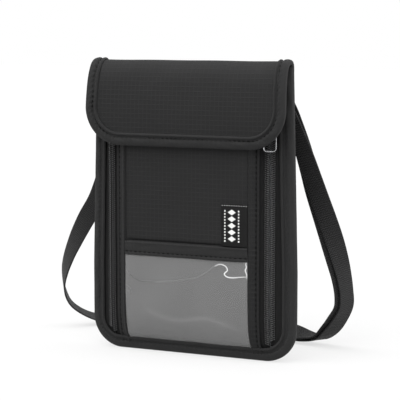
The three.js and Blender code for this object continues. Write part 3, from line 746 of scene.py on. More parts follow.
def fold_section(width):
    """The tape's section from the front leg's inner edge, round the nose, to the back leg's.
    Returns how far in each point lies, and its share of the half thickness, -1 to 1."""
    rolled = width - np.array([0, 0.12, 0.35, 0.7])
    leg = np.concatenate([rolled, np.linspace(width - 1.1, NOSE + 0.3, 15)])
    nose_in = NOSE * (1 - np.sin(NOSE_TURN) ** 0.75)
    nose_share = np.sign(np.cos(NOSE_TURN)) * np.abs(np.cos(NOSE_TURN)) ** 0.75
    inward = np.concatenate([leg, nose_in, leg[::-1]])
    share = np.concatenate([0 * leg + 1, nose_share, 0 * leg - 1])
    return inward, share


def leg_relief(inward, along, width, seed, hollow):
    """The tape's own unevenness: a soft crown, the stitched groove, and puckers at each stitch."""
    seam = width - STITCH_IN
    edge = -0.35 * smoothstep(inward, width - 0.5, width)
    dip = 1.0 + 0.2 * np.cos(FULL_TURN * along / STITCH_PITCH)
    groove = -0.95 * dip * bell(inward, seam, 0.85) - hollow * bell(inward, seam - 0.5, 1.2)
    crown = 0.5 * bell(inward, 0.36 * width, 0.22 * width) + 0.55 * bell(inward, width - 1.3, 0.7)
    pucker = 0.16 * np.sin(FULL_TURN * along / STITCH_PITCH + 0.9 * inward) * bell(inward, seam - 1.2, 1.9)
    uneven = 0.22 * bell(inward, 0.4 * width, 0.45 * width) * ripple(along, 2.2 * inward, 13, 1.0, seed)
    return edge + groove + crown + pucker + uneven


def binding(name, path, width, half, place, seed, replaces, hollow=0.0, **options):
    """path is rounded_path's result, half(front, point, inward) the half thickness on a face, and
    place(x, v, normal) puts a point in space. Makes the tape and its stitches on both faces."""
    points, outward, along = path
    inward, share = fold_section(width)
    at = points[:, None, :] - outward[:, None, :] * inward[None, :, None]
    relief = leg_relief(inward[None, :], along[:, None], width, seed, hollow)
    half_here = half(share > 0, at, inward)
    normal = share[None, :] * (half_here + relief * np.abs(share)[None, :] ** 2)
    deeper = np.minimum(inward + TAPE_T * (1 - np.abs(share)), width)
    at_inside = points[:, None, :] - outward[:, None, :] * deeper[None, :, None]
    inside = share[None, :] * (half_here - TAPE_T)
    outer = place(at[..., 0], at[..., 1], normal)
    inner = place(at_inside[..., 0], at_inside[..., 1], inside)
    uv = np.stack(np.broadcast_arrays(lengths(outer[len(outer) // 2])[None, :], along[:, None]), -1)
    piece = shell(name, outer, inner, BIND, "binding", uv=uv, replaces=replaces, **options)
    sewn = [piece]
    seam = points - outward * (width - STITCH_IN)
    column = int(np.argmin(np.abs(inward[:len(inward) // 2] - (width - STITCH_IN))))
    for face, way, column in (("front", 1, column), ("back", -1, len(inward) - 1 - column)):
        line = outer[:, column]
        above = place(seam[:, 0], seam[:, 1], way * (half_here[:, column] + 5))
        sewn.append(stitches(f"{name}_stitches_{face}", line, unit(above - line), **options))
    return sewn


def body_half(is_front, at, inward):
    ahead = binding_front(at[..., 0], at[..., 1], inward[None, :])
    return np.where(is_front[None, :], ahead, RIM + 0.4 * inward[None, :] / BINDING)


def on_seam(x, v, normal):
    return np.stack(np.broadcast_arrays(x, -normal, v), -1)


body_path = rounded_path(side_at, BODY_TOP + 1.5, 0, CORNER, 0.72)
binding("edge_binding_tape", body_path, BINDING, body_half, on_seam, 11, ("edge_binding",), hollow=0.55)

# ---- Flap ----


def centripetal(points, per_segment):
    """A smooth curve through the points, as three.js's centripetal Catmull-Rom makes it."""
    p = np.asarray(points, float)
    p = np.concatenate([[2 * p[0] - p[1]], p, [2 * p[-1] - p[-2]]])
    curve = []
    for p0, p1, p2, p3 in zip(p, p[1:], p[2:], p[3:]):
        d0, d1, d2 = (max(np.linalg.norm(b - a) ** 0.5, 1e-4) for a, b in ((p0, p1), (p1, p2), (p2, p3)))
        m1 = ((p1 - p0) / d0 - (p2 - p0) / (d0 + d1) + (p2 - p1) / d1) * d1
        m2 = ((p2 - p1) / d1 - (p3 - p1) / (d1 + d2) + (p3 - p2) / d2) * d1
        t = np.linspace(0, 1, per_segment, endpoint=False)[:, None]
        a, b = 2 * p1 - 2 * p2 + m1 + m2, -3 * p1 + 3 * p2 - 2 * m1 - m2
        curve.append(((a * t + b) * t + m1) * t + p1)
    curve.append(p[-2:-1])
    return np.concatenate(curve)


# Middle of the flap's thickness in (y, z), from its free edge up, over the fold and down the back.
FLAP_PROFILE = centripetal([
    (-14.4, 141), (-14.8, 150), (-14.9, 158), (-14.6, 168), (-13.7, 178), (-12.3, 186), (-10.4, 191.5),
    (-8.0, 195.3), (-5.2, 197.2), (-2.8, 197.6), (-0.9, 197.2), (0.25, 195.8), (0.65, 193.5), (0.7, 190.5),
], 40)
FLAP_ALONG = lengths(FLAP_PROFILE)
FLAP_FULL = FLAP_ALONG[-1]
FLAP_LENGTH = FLAP_ALONG[9 * 40]
FLAP_UP = heading(FLAP_PROFILE)


def on_flap(x, v, normal):
    """v is the distance up the flap from its free edge; normal points away from the pouch."""
    y, z = (np.interp(v, FLAP_ALONG, FLAP_PROFILE[:, k]) for k in (0, 1))
    up_y, up_z = (np.interp(v, FLAP_ALONG, FLAP_UP[:, k]) for k in (0, 1))
    return np.stack(np.broadcast_arrays(x, y - up_z * normal, z + up_y * normal), -1)


def flap_half(v):
    return lerp(FLAP_HALF_LOW, FLAP_HALF_TOP, np.clip(v / FLAP_LENGTH, 0, 1))


def flap_width(v, inset):
    r = FLAP_CORNER - inset
    curved = flap_half(v) - FLAP_CORNER + np.sqrt(np.maximum(0, r * r - np.maximum(0, FLAP_CORNER - v) ** 2))
    return np.where(v >= FLAP_CORNER, flap_half(v) - inset, curved)


def flap_rim(is_front, at, inward):
    return FLAP_RIM + 0 * at[..., 0]


def flap_grid(bottom, top, inset, columns, rows, normal):
    v = np.linspace(bottom, top, rows)[:, None]
    x = flap_width(v, inset) * np.linspace(-1, 1, columns)[None, :]
    return on_flap(x, np.broadcast_to(v, x.shape), normal(x, v))


def follow_flap(piece):
    """Bakes the piece's placement into its mesh; the piece is left attached to no body."""
    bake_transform(piece)
    return piece


flap_outer = flap_grid(2.2, FLAP_FULL, 2.2, 130, 150, lambda x, v: 0.7 + ripple(x, v, 42, 0.13, 21))
flap_inner = flap_grid(2.2, FLAP_FULL, 2.2, 130, 150, lambda x, v: 0.15)
follow_flap(shell("flap_cloth", flap_outer, flap_inner, RIPSTOP, "ripstop",
                  replaces=("flap_outer",), ride=False))
lining_outer = flap_grid(2.4, FLAP_FULL - 3, 2.4, 90, 110, lambda x, v: -0.25)
lining_inner = flap_grid(2.4, FLAP_FULL - 3, 2.4, 90, 110, lambda x, v: -0.65 + ripple(x, v, 30, 0.06, 22))
follow_flap(shell("flap_lining_cloth", lining_outer, lining_inner, LINING, "lining",
                  replaces=("flap_lining",), ride=False))
flap_path = rounded_path(flap_half, FLAP_FULL - 0.5, 0, FLAP_CORNER, 0.72)
for sewn in binding("flap_binding_tape", flap_path, FLAP_BINDING, flap_rim, on_flap, 12, ("flap_binding",),
                    ride=False):
    follow_flap(sewn)


# ---- The front wall's bound mouth ----

MOUTH_HALF = float(half_width(np.array(MOUTH), BINDING)) - 0.5
MOUTH_SECTION = centripetal([
    (8, 0.85), (6.8, 0.95), (5.6, 0.7), (3, 1.0), (1.2, 0.95), (0.3, 0.45), (0, -1.0), (0.3, -2.9),
    (1.2, -3.4), (3, -3.4), (5.6, -3.2), (8, -3.35),
], 4)


def strip_along_x(section, half, top, columns):
    """A section of (down, forward) pairs carried across the front at height `top`."""
    x = np.linspace(-half, half, columns)[:, None]
    return on_front(x, top - section[None, :, 0], section[None, :, 1])


def inset_section(section, by):
    """The section moved inwards by `by`, towards the hollow of its fold."""
    along = heading(section)
    return section + by * np.stack([-along[:, 1], along[:, 0]], -1)


mouth_outer = strip_along_x(MOUTH_SECTION, MOUTH_HALF, MOUTH, 160)
mouth_inner = strip_along_x(inset_section(MOUTH_SECTION, 0.45), MOUTH_HALF, MOUTH, 160)
shell("mouth_binding_tape", mouth_outer, mouth_inner, BIND, "binding", replaces=("mouth_binding",))
seam = strip_along_x(np.array([(5.6, 0.72)]), MOUTH_HALF, MOUTH, 160)[:, 0]
stitches("mouth_binding_stitches", seam, FRONT_WAY)

# ---- Side strips: placket, zipper tapes, coil ----

STRIP_OUT = np.array([math.sin(SIDE_ANGLE), -math.cos(SIDE_ANGLE)])     # (x, y) out of the right strip


def on_strip(sign, x, z, normal):
    """A point `normal` proud of the front at (x, z) on the strip; sign is 1 on the right side."""
    x_out = sign * (x + STRIP_OUT[0] * normal)
    return np.stack(np.broadcast_arrays(x_out, STRIP_OUT[1] * normal - front(x, z), z), -1)


def out_of_strip(sign):
    return np.array([sign * STRIP_OUT[0], STRIP_OUT[1], 0])


PLACKET_TOP = centripetal([
    (-0.5, -0.35), (-0.2, 0.6), (0.4, 1.2), (1.2, 0.95), (2.4, 0.8), (3.9, 0.7), (4.75, 0.3), (5.4, 0.75),
    (6.0, 1.1), (6.5, 0.95), (6.8, 0.2),
], 5)
PLACKET_UNDER = np.stack([np.linspace(-0.4, 6.55, len(PLACKET_TOP)), np.full(len(PLACKET_TOP), -0.55)], -1)
TOOTH_PITCH = 1.4
TOOTH_SIDES = 8
TOOTH_RINGS = np.array([       # along the tooth from its head, radius, rise
    (0.38, 0.20, 0.0), (0.5, 0.52, 0.02), (0.85, 0.64, 0.05), (1.3, 0.56, 0.05), (2.0, 0.47, 0.05),
    (2.8, 0.47, 0.0), (3.3, 0.40, -0.15), (3.5, 0.15, -0.3)])
TOOTH_SLANT = 0.42


def placket(side, sign):
    z = np.linspace(FRONT_LOW, FRONT_TOP, 260)[:, None]
    faces = []
    for section in (PLACKET_TOP, PLACKET_UNDER):
        x = PANEL_HALF + section[None, :, 0] + 0 * z
        gathered = 0.05 * np.sin(FULL_TURN * z / STITCH_PITCH)
        uneven = 0.07 * ripple(4 * x, z, 24, 1.0, 31 + sign) + gathered
        proud = section[None, :, 1] + uneven * (section[None, :, 1] > 0)
        faces.append(on_strip(sign, x, z + 0 * x, proud))
    shell(f"{side}_placket_cloth", *faces, PLAIN, "plain_fabric", replaces=(f"{side}_placket",))
    seam_z = np.linspace(11, MOUTH - 3, 200)
    seam_x = PANEL_HALF + 4.75 + 0 * seam_z
    line = on_strip(sign, seam_x, seam_z, 0.42)
    stitches(f"{side}_placket_stitches", line, out_of_strip(sign), slot="plain_fabric")


def zip_tapes(side, sign):
    def tape_depth(x, z):
        cord = 0.3 * bell(np.abs(x - ZIP_X), 4.4, 0.4)
        sunk = TAPE_SUNK * np.where(x > ZIP_X, smoothstep(rim_of(x, z)[0], 3, BINDING), 1.0)
        return cord - sunk

    for part, x_from, x_to, bottom in (("inner", PANEL_HALF + 3.2, ZIP_X - 0.55, FRONT_LOW),
                                       ("outer", ZIP_X + 0.55, None, 5.4)):
        z = np.linspace(bottom, LINING_TOP, 150)[:, None]
        stop = half_width(z, 2.2) if x_to is None else x_to + 0 * z
        x = x_from + (stop - x_from) * np.linspace(0, 1, 44)[None, :]
        zz = z + 0 * x
        outer = on_strip(sign, x, zz, tape_depth(x, zz))
        inner = on_strip(sign, x, zz, tape_depth(x, zz) - 0.5)
        shell(f"{side}_zip_tape_{part}_cloth", outer, inner, TAPE, "zip_tape",
              replaces=(f"{side}_zip_tape_{part}",))


def coil(side, sign, top):
    """Two rows of nylon teeth, and the two lines of thread that hold each row to its tape."""
    turn = np.linspace(0, FULL_TURN, TOOTH_SIDES, endpoint=False)
    reach, radius, rise = TOOTH_RINGS[:, 0, None], TOOTH_RINGS[:, 1, None], TOOTH_RINGS[:, 2, None]
    for part, row in (("inner", -1), ("outer", 1)):
        bottom = 11.6 if row < 0 else 14.0
        z0 = np.arange(bottom, top, TOOTH_PITCH) + (0.5 * TOOTH_PITCH if row > 0 else 0)
        across = reach + 0 * turn
        up = 0.95 * radius * np.cos(turn) + TOOTH_SLANT * (reach - 0.4)
        out = rise + 0.9 * radius * np.sin(turn)
        x = ZIP_X + row * across.ravel()[None, :] + 0 * z0[:, None]
        z = z0[:, None] + up.ravel()[None, :]
        verts = on_strip(sign, x, z, out.ravel()[None, :] + 0.05).reshape(-1, 3)
        faces = lathe_faces(len(TOOTH_RINGS), TOOTH_SIDES, len(z0))
        add_piece(f"{side}_coil_{part}_teeth", verts, faces, COIL, "zip_coil", sharp=80,
                  replaces=(f"{side}_coil_{part}",))
        line_z = np.linspace(bottom, top, 300)
        line = on_strip(sign, ZIP_X + row * 2.35 + 0 * line_z, line_z, 0.47)
        stitches(f"{side}_coil_{part}_thread", line, out_of_strip(sign), slot="zip_tape", pitch=TOOTH_PITCH,
                 length=1.05, radius=0.17, lift=0.12)


for side, sign, slider_z in (("right", 1, RIGHT_SLIDER_Z), ("left", -1, LEFT_SLIDER_Z)):
    placket(side, sign)
    zip_tapes(side, sign)
    coil(side, sign, slider_z + 5.4)

# ---- ID window ----


def pocket_rise(x, z, edge, middle):
    """Height of a pocket layer over the centre panel: it is sewn down at its sides and bottom."""
    sides = smoothstep(PANEL_HALF - np.abs(x), 0, 9)
    return lerp(edge, middle, sides * smoothstep(z, 10, 34))


WINDOW_RISE = (0.75, 1.65)         # the clear sheet's height at its seams, and in its middle

# Creases in the clear sheet: strength, dark below zero, half width, and (x, z) points.
# A light crease is stress whitening with a painted highlight; a dark crease is painted shade.
CREASES = [
    (-0.95, 0.42, [(-45.0, 55.6), (-43.8, 54.7), (-39.2, 51.5), (-33.9, 49.2), (-26.2, 49.3), (-20.1, 49.5)]),
    (-0.6, 0.36, [(-20.1, 49.5), (-7.3, 51.2), (7.7, 54.2), (14.3, 57.4), (19.6, 61.4), (22.9, 63.8)]),
    (-0.85, 0.34, [(-45.2, 45.6), (-43.4, 45.0), (-41.4, 44.0), (-40.5, 42.5), (-41.6, 41.2), (-43.9, 41.6)]),
    (0.8, 0.4, [(21.8, 62.9), (26.1, 64.5), (30.2, 63.3), (31.5, 60.9), (29.2, 58.3), (30.8, 56.6),
                (34.8, 56.1), (40, 56.7), (45.0, 57.2)]),
    (0.8, 0.4, [(45.2, 67.6), (44.4, 65.8), (44.8, 63.6), (44.1, 61.4), (45.0, 59.0), (45.2, 55.9)]),
    (0.06, 1.6, [(-30, 30), (-8, 24), (16, 27), (38, 21)]),
]


def crease_field(x, z):
    """Strength of the creases' painted light and shade at each point, and how far they lift the sheet."""
    strength, lift = 0 * x, 0 * x
    for value, width, points in CREASES:
        line = resample(centripetal(points, 10), 0.2)
        share = np.linspace(0, 1, len(line))
        distance = np.full(x.shape, 1e9)
        taper = 0 * x
        for (px, pz), t in zip(line, share):
            d = np.hypot(x - px, z - pz)
            taper = np.where(d < distance, 4 * t * (1 - t), taper)
            distance = np.minimum(distance, d)
        profile = np.exp(-(distance / width) ** 2) * np.clip(0.45 + 0.55 * taper, 0, 1)
        strength = np.where(np.abs(value * profile) > np.abs(strength), value * profile, strength)
        height = 0.24 * value if value > 0 else 0.05 * value
        lift = lift + height * np.exp(-(distance / (2.4 * width)) ** 2)
    return strength, lift


def backing_face(x, z):
    return -front(x, z) - pocket_rise(x, z, 0.4, 0.65) - 0.08 * ripple(x, z, 26, 1.0, 41)


window_x, window_z = band_width(PANEL_HALF - 0.3), (WINDOW_BOTTOM, WINDOW_TOP - 1.6)
backing = body_grid(*window_x, WINDOW_BOTTOM, 72, 60, 60, backing_face)
cloth("id_pocket_backing_cloth", backing, 0.25, FRONT_WAY, BACKING, "pocket_backing",
      replaces=("id_pocket_backing",))
flat_window = body_grid(*window_x, *window_z, 270, 200, lambda x, z: 0 * x)
wx, wz = flat_window[..., 0], flat_window[..., 2]
crease_painted_light_and_shade, crease_lift = crease_field(wx, wz)
flat_window[..., 1] = (-front(wx, wz) - pocket_rise(wx, wz, *WINDOW_RISE) - 0.15 * ripple(wx, wz, 38, 1.0, 42)
                       - 0.35 * crease_lift)
window = cloth("id_window_sheet", flat_window, 0.22, FRONT_WAY, PVC, "clear_pvc", replaces=("id_window",))
# The sheet's material paints light and shade along the creases from these strengths.
attribute = window.data.attributes.new("crease", "FLOAT", "POINT")
attribute.data.foreach_set("value", np.tile(crease_painted_light_and_shade.ravel(), 2).astype(np.float32))

TAPE_SECTION = centripetal([
    (WINDOW_TAPE, 0.0), (WINDOW_TAPE - 0.15, 0.42), (8.3, 0.62), (7.4, 0.5), (6.9, 0.3), (6.4, 0.5),
    (4.5, 0.72), (2, 0.75), (0.7, 0.95), (0.15, 0.6), (0.1, -0.4),
], 4)


def pocket_tape_grid(shrink):
    x = np.linspace(-PANEL_HALF + 0.2, PANEL_HALF - 0.2, 190)[:, None]
    z = WINDOW_TOP - np.maximum(TAPE_SECTION[None, :, 0], shrink * 0.5) + 0 * x
    wave = 0.07 * ripple(x, 4 * z, 20, 1.0, 43) + 0.05 * np.sin(FULL_TURN * x / STITCH_PITCH + z)
    rise = pocket_rise(x, z, *WINDOW_RISE) + TAPE_SECTION[None, :, 1] + wave - shrink
    return on_front(x, z, rise)


shell("id_window_tape", pocket_tape_grid(0.0), pocket_tape_grid(0.4), BIND, "binding",
      replaces=("id_window_binding",))
seam_x = np.linspace(-PANEL_HALF + 1.5, PANEL_HALF - 1.5, 200)
seam_z = 0 * seam_x + WINDOW_TOP - 6.9
seam = on_front(seam_x, seam_z, pocket_rise(seam_x, seam_z, *WINDOW_RISE) + 0.3)
stitches("id_window_stitches", seam, FRONT_WAY)

# ---- Label, hook and loop ----


def label_face(x, z):
    return -front(x, z) - 0.7 - 0.25 * bell(x, 35, 6) * bell(z, 92, 9) - 0.05 * ripple(x, z, 12, 1.0, 51)


label_grid = body_grid(lambda z: 0 * z + LABEL_LEFT, lambda z: 0 * z + LABEL_RIGHT, LABEL_BOTTOM, LABEL_TOP,
                       50, 70, label_face)
cloth("woven_label_cloth", label_grid, 0.35, FRONT_WAY, LABEL, "woven_label", replaces=("woven_label",))


def label_marks():
    """A plain woven pattern: a column of lozenges between two dotted lines. It means nothing."""
    middle_x, bottom_z, top_z = 34.2, 79.6, 101.4
    outlines = []
    for z in np.linspace(bottom_z + 2.1, top_z - 2.1, 5):
        outlines.append([(middle_x - 2.9, z), (middle_x, z - 1.9), (middle_x + 2.9, z), (middle_x, z + 1.9)])
    for x in (middle_x - 5.0, middle_x + 5.0):
        for z in np.arange(bottom_z, top_z - 0.6, 2.0):
            outlines.append([(x - 0.45, z), (x + 0.45, z), (x + 0.45, z + 1.05), (x - 0.45, z + 1.05)])
    steps = np.linspace(0, 1, 6)
    verts, faces = [], []
    for corners in outlines:
        a, b, c, d = (np.array(p) for p in corners)
        s, t = np.meshgrid(steps, steps)
        s, t = s[..., None], t[..., None]
        flat = (1 - s) * (1 - t) * a + s * (1 - t) * b + s * t * c + (1 - s) * t * d
        x, z = flat[..., 0], flat[..., 1]
        top, base = (np.stack([x, label_face(x, z) + y, z], -1) for y in (-0.1, 0.1))
        first = sum(len(v) for v in verts)
        verts.append(np.concatenate([top.reshape(-1, 3), base.reshape(-1, 3)]))
        faces.extend(f + first for f in skin_faces(len(steps), len(steps)))
    verts = np.concatenate(verts)
    add_piece("woven_label_pattern", verts, faces, LABEL_THREAD, "woven_label", uv=verts[:, [0, 2]])


label_marks()
seam_x = np.linspace(LABEL_LEFT + 0.8, LABEL_RIGHT - 0.8, 60)
seam_z = 0 * seam_x + LABEL_TOP - 0.9
seam = np.stack([seam_x, label_face(seam_x, seam_z), seam_z], -1)
stitches("woven_label_stitches", seam, FRONT_WAY, material=WHITE_THREAD, slot="woven_label", pitch=1.7,
         length=1.15, radius=0.16)


def fastener_strip(name, face, towards, half, low, high, material, body, replaces):
    """A strip of hook or loop tape: flat selvages round a raised pile, sewn down round its edge."""
    grid = face(np.linspace(low, high, 60)[:, None], np.linspace(-half, half, 140)[None, :])
    cloth(name, grid, 0.9, towards, material, "hook_loop", body=body, replaces=(replaces,))
    inset = 3
    loop = np.concatenate([grid[inset, inset:-inset], grid[inset:-inset, -inset - 1],
                           grid[-inset - 1, -inset:inset:-1], grid[-inset:inset:-1, inset]])
    stitches(f"{name}_stitches", loop, towards, slot="hook_loop", body=body)


def pile(share_x, share_z, height):
    edge = np.minimum(share_x, share_z)
    return height * smoothstep(edge, 1.6, 2.4)


def loop_face(z, x):
    return on_front(x, z, 0.95 + pile(28 - np.abs(x), 9 - np.abs(z - 157), 0.5))


def hook_face(v, x):
    return on_flap(x, v, -1.35 - pile(27 - np.abs(x), 8 - np.abs(v - 17), 0.5))


fastener_strip("loop_tape_strip", loop_face, FRONT_WAY, 28, 148, 166, LOOPS, "pouch", "loop_strip")
fastener_strip("hook_tape_strip", hook_face, BACK_WAY, 27, 9, 25, HOOKS, "flap", "hook_strip")

# ---- Sliders, pulls and stops ----


def refined(node, name, material, body, width, segments=2):
    """A copy of a CAD piece with its edges rounded, which stands for it."""
    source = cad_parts[node]
    copy = linked(name, source.data.copy())
    bevel = copy.modifiers.new("round", "BEVEL")
    bevel.width = width * MM
    bevel.segments = segments
    bevel.limit_method = "ANGLE"
    bevel.angle_limit = math.radians(35)
    bevel.harden_normals = False
    bpy.context.view_layer.update()
    evaluated = copy.evaluated_get(bpy.context.evaluated_depsgraph_get())
    mesh = bpy.data.meshes.new_from_object(evaluated)
    copy.modifiers.clear()
    copy.data = mesh
    mesh.materials.clear()
    mesh.materials.append(material)
    mesh.shade_smooth()
    mesh.set_sharp_from_angle(angle=math.radians(40))
    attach(copy, body)
    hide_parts(node)
    return copy


def wire_loop(name, width, length, corner, wire, place, material, slot, body, replaces):
    """A bent wire ring: a rounded rectangle that hangs from its top bar."""
    half = width / 2
    centres = [(half - corner, -corner, 90), (half - corner, corner - length, 0),
               (corner - half, corner - length, -90), (corner - half, -corner, 180)]
    outline = []
    for cx, cz, start in centres:
        for angle in np.radians(np.linspace(start, start - 90, 14)):
            outline.append((cx + corner * math.cos(angle), cz + corner * math.sin(angle)))
    outline.append(outline[0])
    line = resample(np.array(outline), 0.25)[:-1]
    along = unit(np.roll(line, -1, 0) - np.roll(line, 1, 0))
    turn = np.linspace(0, FULL_TURN, WIRE_SIDES, endpoint=False)
    side = np.stack([-along[:, 1], along[:, 0]], -1)
    local = np.stack([
        line[:, 0, None] + wire * side[:, 0, None] * np.cos(turn)[None],
        wire * np.sin(turn)[None] + 0 * line[:, 0, None],
        line[:, 1, None] + wire * side[:, 1, None] * np.cos(turn)[None]], -1)
    index = np.arange(len(line) * WIRE_SIDES).reshape(-1, WIRE_SIDES)
    index = np.pad(index, ((0, 1), (0, 1)), "wrap")
    return add_piece(name, place(local.reshape(-1, 3)), [quads(index)], material, slot, body=body,
                     replaces=(replaces,), sharp=80)


def strip_frame(sign, slider_z):
    """Puts points of the slider's own frame in the seam frame."""
    angle = sign * SIDE_ANGLE
    cos, sin = math.cos(angle), math.sin(angle)
    turn = np.array([[cos, -sin, 0], [sin, cos, 0], [0, 0, 1]])
    origin = np.array([sign * ZIP_X, -float(open_front(np.array(ZIP_X), np.array(120.0))), slider_z])
    return lambda points: points @ turn.T + origin


for side, sign, slider_z in (("right", 1, RIGHT_SLIDER_Z), ("left", -1, LEFT_SLIDER_Z)):
    place = strip_frame(sign, slider_z)
    pivot = np.array([0, PULL_PIVOT_Y, PULL_PIVOT_Z])
    refined(f"{side}_zip_slider", f"{side}_slider_body", ENAMEL, f"{side}_slider", 0.22)
    wire_loop(f"{side}_pull_loop", PULL_WIDTH, PULL_LENGTH, PULL_CORNER, PULL_WIRE_DRAWN,
              lambda p: place(p + pivot), WIRE, "polished_wire", f"{side}_pull", f"{side}_zip_pull")
    refined(f"{side}_zip_top_stop", f"{side}_top_stop", ENAMEL, "pouch", 0.2)

# ---- Neck strap ----

# Middle of the webbing and the direction of its width, from the ring on the right, down to the
# floor, round behind the pouch and up to the left end of the fold.
ROUTE = np.array([
    (59.6, 5.5, 173.2, 0.91, -0.05, 0.41), (62.2, 7.6, 168, 0.93, -0.1, 0.36),
    (64.6, 11.5, 161, 0.96, -0.13, 0.24), (67.6, 16, 151, 0.98, -0.14, 0.16),
    (71.6, 21, 137, 0.98, -0.08, 0.15), (75.6, 25.5, 122, 0.99, 0, 0.15),
    (79.1, 30, 107.5, 0.98, 0.15, 0.12), (82.6, 34.5, 93.5, 0.94, 0.31, 0.1),
    (85.9, 39, 79.5, 0.85, 0.5, 0.12), (88.5, 43.5, 66, 0.67, 0.72, 0.15), (90.2, 48, 53, 0.47, 0.86, 0.17),
    (90.6, 52, 41, 0.41, 0.87, 0.28), (89, 56, 30, 0.5, 0.85, 0.15), (83, 59.5, 19.8, 0.56, 0.83, -0.06),
    (76, 62.5, 11.4, 0.45, 0.86, -0.25), (67, 64.5, 4.5, 0.25, 0.96, -0.12),
    (57, 66.5, 4.1, 0.2, 0.93, 0.22), (46.5, 69.5, 5.2, 0.3, 0.76, 0.55), (34, 77, 5.5, 0.12, 0.68, 0.72),
    (21, 89, 6.18, 0.18, 0.42, 0.88), (6, 102, 6.58, 0.12, 0.22, 0.97), (-11, 113, 7.7, 0.02, 0.06, 1),
    (-26, 118.2, 9.2, 0, 0, 1), (-40, 119.4, 9.5, 0, 0, 1), (-52, 119.5, 9.5, 0, 0, 1),
    (-64, 119.3, 9.5, 0, 0, 1), (-75, 116.6, 9.2, 0, 0.05, 1), (-87, 107, 7.6, -0.2, 0.28, 0.93),
    (-98, 91, 5.8, -0.45, 0.5, 0.66), (-107.5, 73, 3.6, -0.66, 0.62, 0.3),
    (-115.5, 59.5, 7.9, -0.62, 0.72, 0.24), (-123, 48, 17, -0.48, 0.86, 0.1),
    (-125, 43, 25, -0.45, 0.89, 0), (-124.6, 39, 34, -0.56, 0.83, 0), (-121.4, 35, 44, -0.73, 0.68, -0.1),
    (-114.8, 30, 56, -0.85, 0.5, -0.15), (-105.5, 25, 70, -0.93, 0.3, -0.2),
    (-94.4, 20, 85, -0.96, 0.1, -0.25), (-83, 15, 99, -0.95, 0.03, -0.28), (-75, 11, 113, -0.94, 0, -0.3),
    (-67.5, 7.6, 130, -0.95, 0, -0.28), (-61.5, 5.6, 150, -0.97, 0, -0.24),
    (-57.5, 5.4, 170, -0.98, 0, -0.17), (-55.5, 5.4, 186, -0.99, 0, -0.1),
])
ROUTE_LINE = centripetal(ROUTE[:, :3], 60)
ROUTE_WIDTH = centripetal(ROUTE[:, 3:], 60)
ROUTE_AT = lengths(ROUTE_LINE)
ROUTE_FULL = ROUTE_AT[-1]
ROUTE_ALONG = heading(ROUTE_LINE)


def route_frame(distance):
    """Point, direction along, across and outward of the route at each distance from its start."""
    distance = np.atleast_1d(np.asarray(distance, float))
    point, along, across = (read_off(distance, ROUTE_AT, v) for v in (ROUTE_LINE, ROUTE_ALONG, ROUTE_WIDTH))
    along = unit(along)
    across = square_to(along, across)
    return point, along, across, np.cross(along, across)


def route_rows(distance, inward=0.0, sideways=0.0):
    point, _, across, out = route_frame(distance)
    inward, sideways = (np.broadcast_to(v, len(point))[:, None] for v in (inward, sideways))
    return point - out * inward + across * sideways, across


GLIDE_POINT, GLIDE_ALONG, GLIDE_ACROSS, GLIDE_OUT = (v[0] for v in route_frame(GLIDE_AT))


def glide_rows(ahead, inward):
    ahead, inward = np.broadcast_arrays(ahead, inward)
    point = GLIDE_POINT + GLIDE_ALONG * ahead[:, None] - GLIDE_OUT * inward[:, None]
    return point, np.broadcast_to(GLIDE_ACROSS, point.shape)


def joined(*runs, step=0.9):
    """Rows of a band joined end to end, evenly spaced and eased where two runs meet."""
    points, across = (np.concatenate([run[k] for run in runs]) for k in (0, 1))
    points, across = resample(points, step, across)
    for _ in range(2):
        points[1:-1] = 0.25 * points[:-2] + 0.5 * points[1:-1] + 0.25 * points[2:]
    return points, unit(across)


def webbing(name, rows, replaces, seed, thickness=WEBBING_T):
    """A woven band with soft round selvages, a little cupped and uneven along its length."""
    points, across = rows
    along = heading(points)
    across = square_to(along, across)
    out = np.cross(along, across)
    at = lengths(points)
    half, t = WEBBING / 2, thickness / 2
    flat = np.linspace(half - t, t - half, 19)
    nose = np.linspace(math.pi / 2, -math.pi / 2, 7)[1:-1]
    s = np.concatenate([flat, t - half - t * np.cos(nose), flat[::-1], half - t + t * np.cos(nose[::-1])])
    n = np.concatenate([flat * 0 + t, t * np.sin(nose), flat * 0 - t, -t * np.sin(nose)])
    sag = 0.10 * (s / half) ** 2 + 0 * s
    uneven = ripple(at[:, None], s[None, :], 38, 0.09, seed)
    ends = smoothstep(np.minimum(at, at[-1] - at), 0, 6)[:, None]
    rise = n[None, :] + (uneven - sag[None, :]) * ends
    verts = points[:, None] + across[:, None] * s[None, :, None] + out[:, None] * rise[..., None]
    uv = np.stack(np.broadcast_arrays(s[None, :] + half, at[:, None]), -1).reshape(-1, 2)
    return add_piece(name, verts.reshape(-1, 3), lathe_faces(len(points), len(s)), WEB, "webbing", uv=uv,
                     replaces=replaces, sharp=70)


def ring_place(points):
    cos, sin = math.cos(RING_TILT), math.sin(RING_TILT)
    turn = np.array([[cos, 0, -sin], [0, 1, 0], [sin, 0, cos]])
    return points @ turn.T + RING_AT


RING_ACROSS = np.array([math.cos(RING_TILT), 0, math.sin(RING_TILT)])
HALF_TURN = np.linspace(0, math.pi, 15)
under_bar = np.stack([RING_WRAP * np.cos(HALF_TURN), -RING_WRAP * np.sin(HALF_TURN)], -1)
tab_line = np.concatenate([[(-0.9, 11.5), (0.3, 7.5), (1.9, 3.5)], under_bar,
                           [(-RING_WRAP, 3.5), (-RING_WRAP, 7.5), (-RING_WRAP, 11.5)]])
tab_points = ring_place(np.stack([0 * tab_line[:, 0], tab_line[:, 0], tab_line[:, 1]], -1))
tab_rows = joined((tab_points, tab_points * 0 + RING_ACROSS), step=0.6)
webbing("strap_tab_band", tab_rows, ("strap_tab",), 61, thickness=1.0)

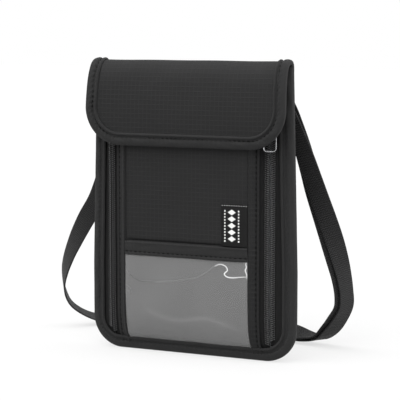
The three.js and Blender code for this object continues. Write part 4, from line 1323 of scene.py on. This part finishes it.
over_bar = np.stack([0 * HALF_TURN, RING_WRAP * np.cos(HALF_TURN[::-1]),
                     RING_WRAP * np.sin(HALF_TURN[::-1]) - RING_LENGTH], -1)
over_points = ring_place(over_bar)
ahead = np.linspace(-9.9, 6.3, 60)
main_rows = joined(
    route_rows(np.arange(0, GLIDE_AT - 13, 1.5)),
    glide_rows(ahead, (GLIDE_INWARD + 2.5) * (1 - smoothstep(np.abs(ahead), 0.5, 4.8))),
    route_rows(np.arange(GLIDE_AT + 9.5, ROUTE_FULL, 1.5)))
back_along = np.arange(6, GLIDE_AT - 17, 1.5)
gap = lerp(2 * RING_WRAP, 2.1, smoothstep(back_along, 4, 46))
shift = (-0.8 * smoothstep(back_along, 4, 22) - 2 * smoothstep(back_along, 32, 70)
         + 2.8 * smoothstep(back_along, 165, 215))
end_turn = np.array([(-12.5, 4.3), (-10.6, 5.6), (-9, 6.1), (-7.2, 6.1), (-6, 5.6), (-5.3, 4.6),
                     (-5.3, 2.6), (-6, 1.75), (-7.2, 1.5), (-9.5, 1.5)])
return_rows = joined(
    (over_points, over_points * 0 + RING_ACROSS),
    route_rows(back_along, gap, shift),
    glide_rows(end_turn[:, 0], end_turn[:, 1]), step=0.8)
strap_main = webbing("strap_main_band", main_rows, ("strap_main",), 62)
strap_return = webbing("strap_return_band", return_rows, ("strap_return",), 63)


def sewn_box(name, rows, start, end, top):
    """The box and cross of stitches that hold a band's end; `top` is how proud of its middle they lie."""
    points, across = rows
    at = lengths(points)
    along = heading(points)
    half = WEBBING / 2 - 1.7
    corners = np.array([(start, -half), (end, -half), (end, half), (start, half), (start, -half), (end, half),
                        (start, half), (end, -half)])
    path = resample(corners, 0.5)
    middle, side, ahead = (read_off(path[:, 0], at, values) for values in (points, across, along))
    out = unit(np.cross(ahead, side)) * np.sign(top)
    stitches(name, middle + side * path[:, 1, None] + out * abs(top), out, slot="webbing", pitch=2.6,
             length=1.9, radius=0.22)


main_length, return_length = (float(lengths(rows[0])[-1]) for rows in (main_rows, return_rows))
sewn_box("strap_end_stitches", main_rows, main_length - 12.5, main_length - 2.2, 0.6)
sewn_box("strap_end_stitches_outside", main_rows, main_length - 12.5, main_length - 2.2, -0.6)
sewn_box("strap_tab_stitches", tab_rows, 1.2, 6.6, -0.5)
tri_glide = refined("tri_glide", "tri_glide_plate", ENAMEL, "pouch", 0.5, 3)
wire_loop("strap_ring_loop", RING_WIDTH, RING_LENGTH, RING_CORNER, RING_WIRE, ring_place, ENAMEL,
          "black_metal", "ring", "strap_ring")
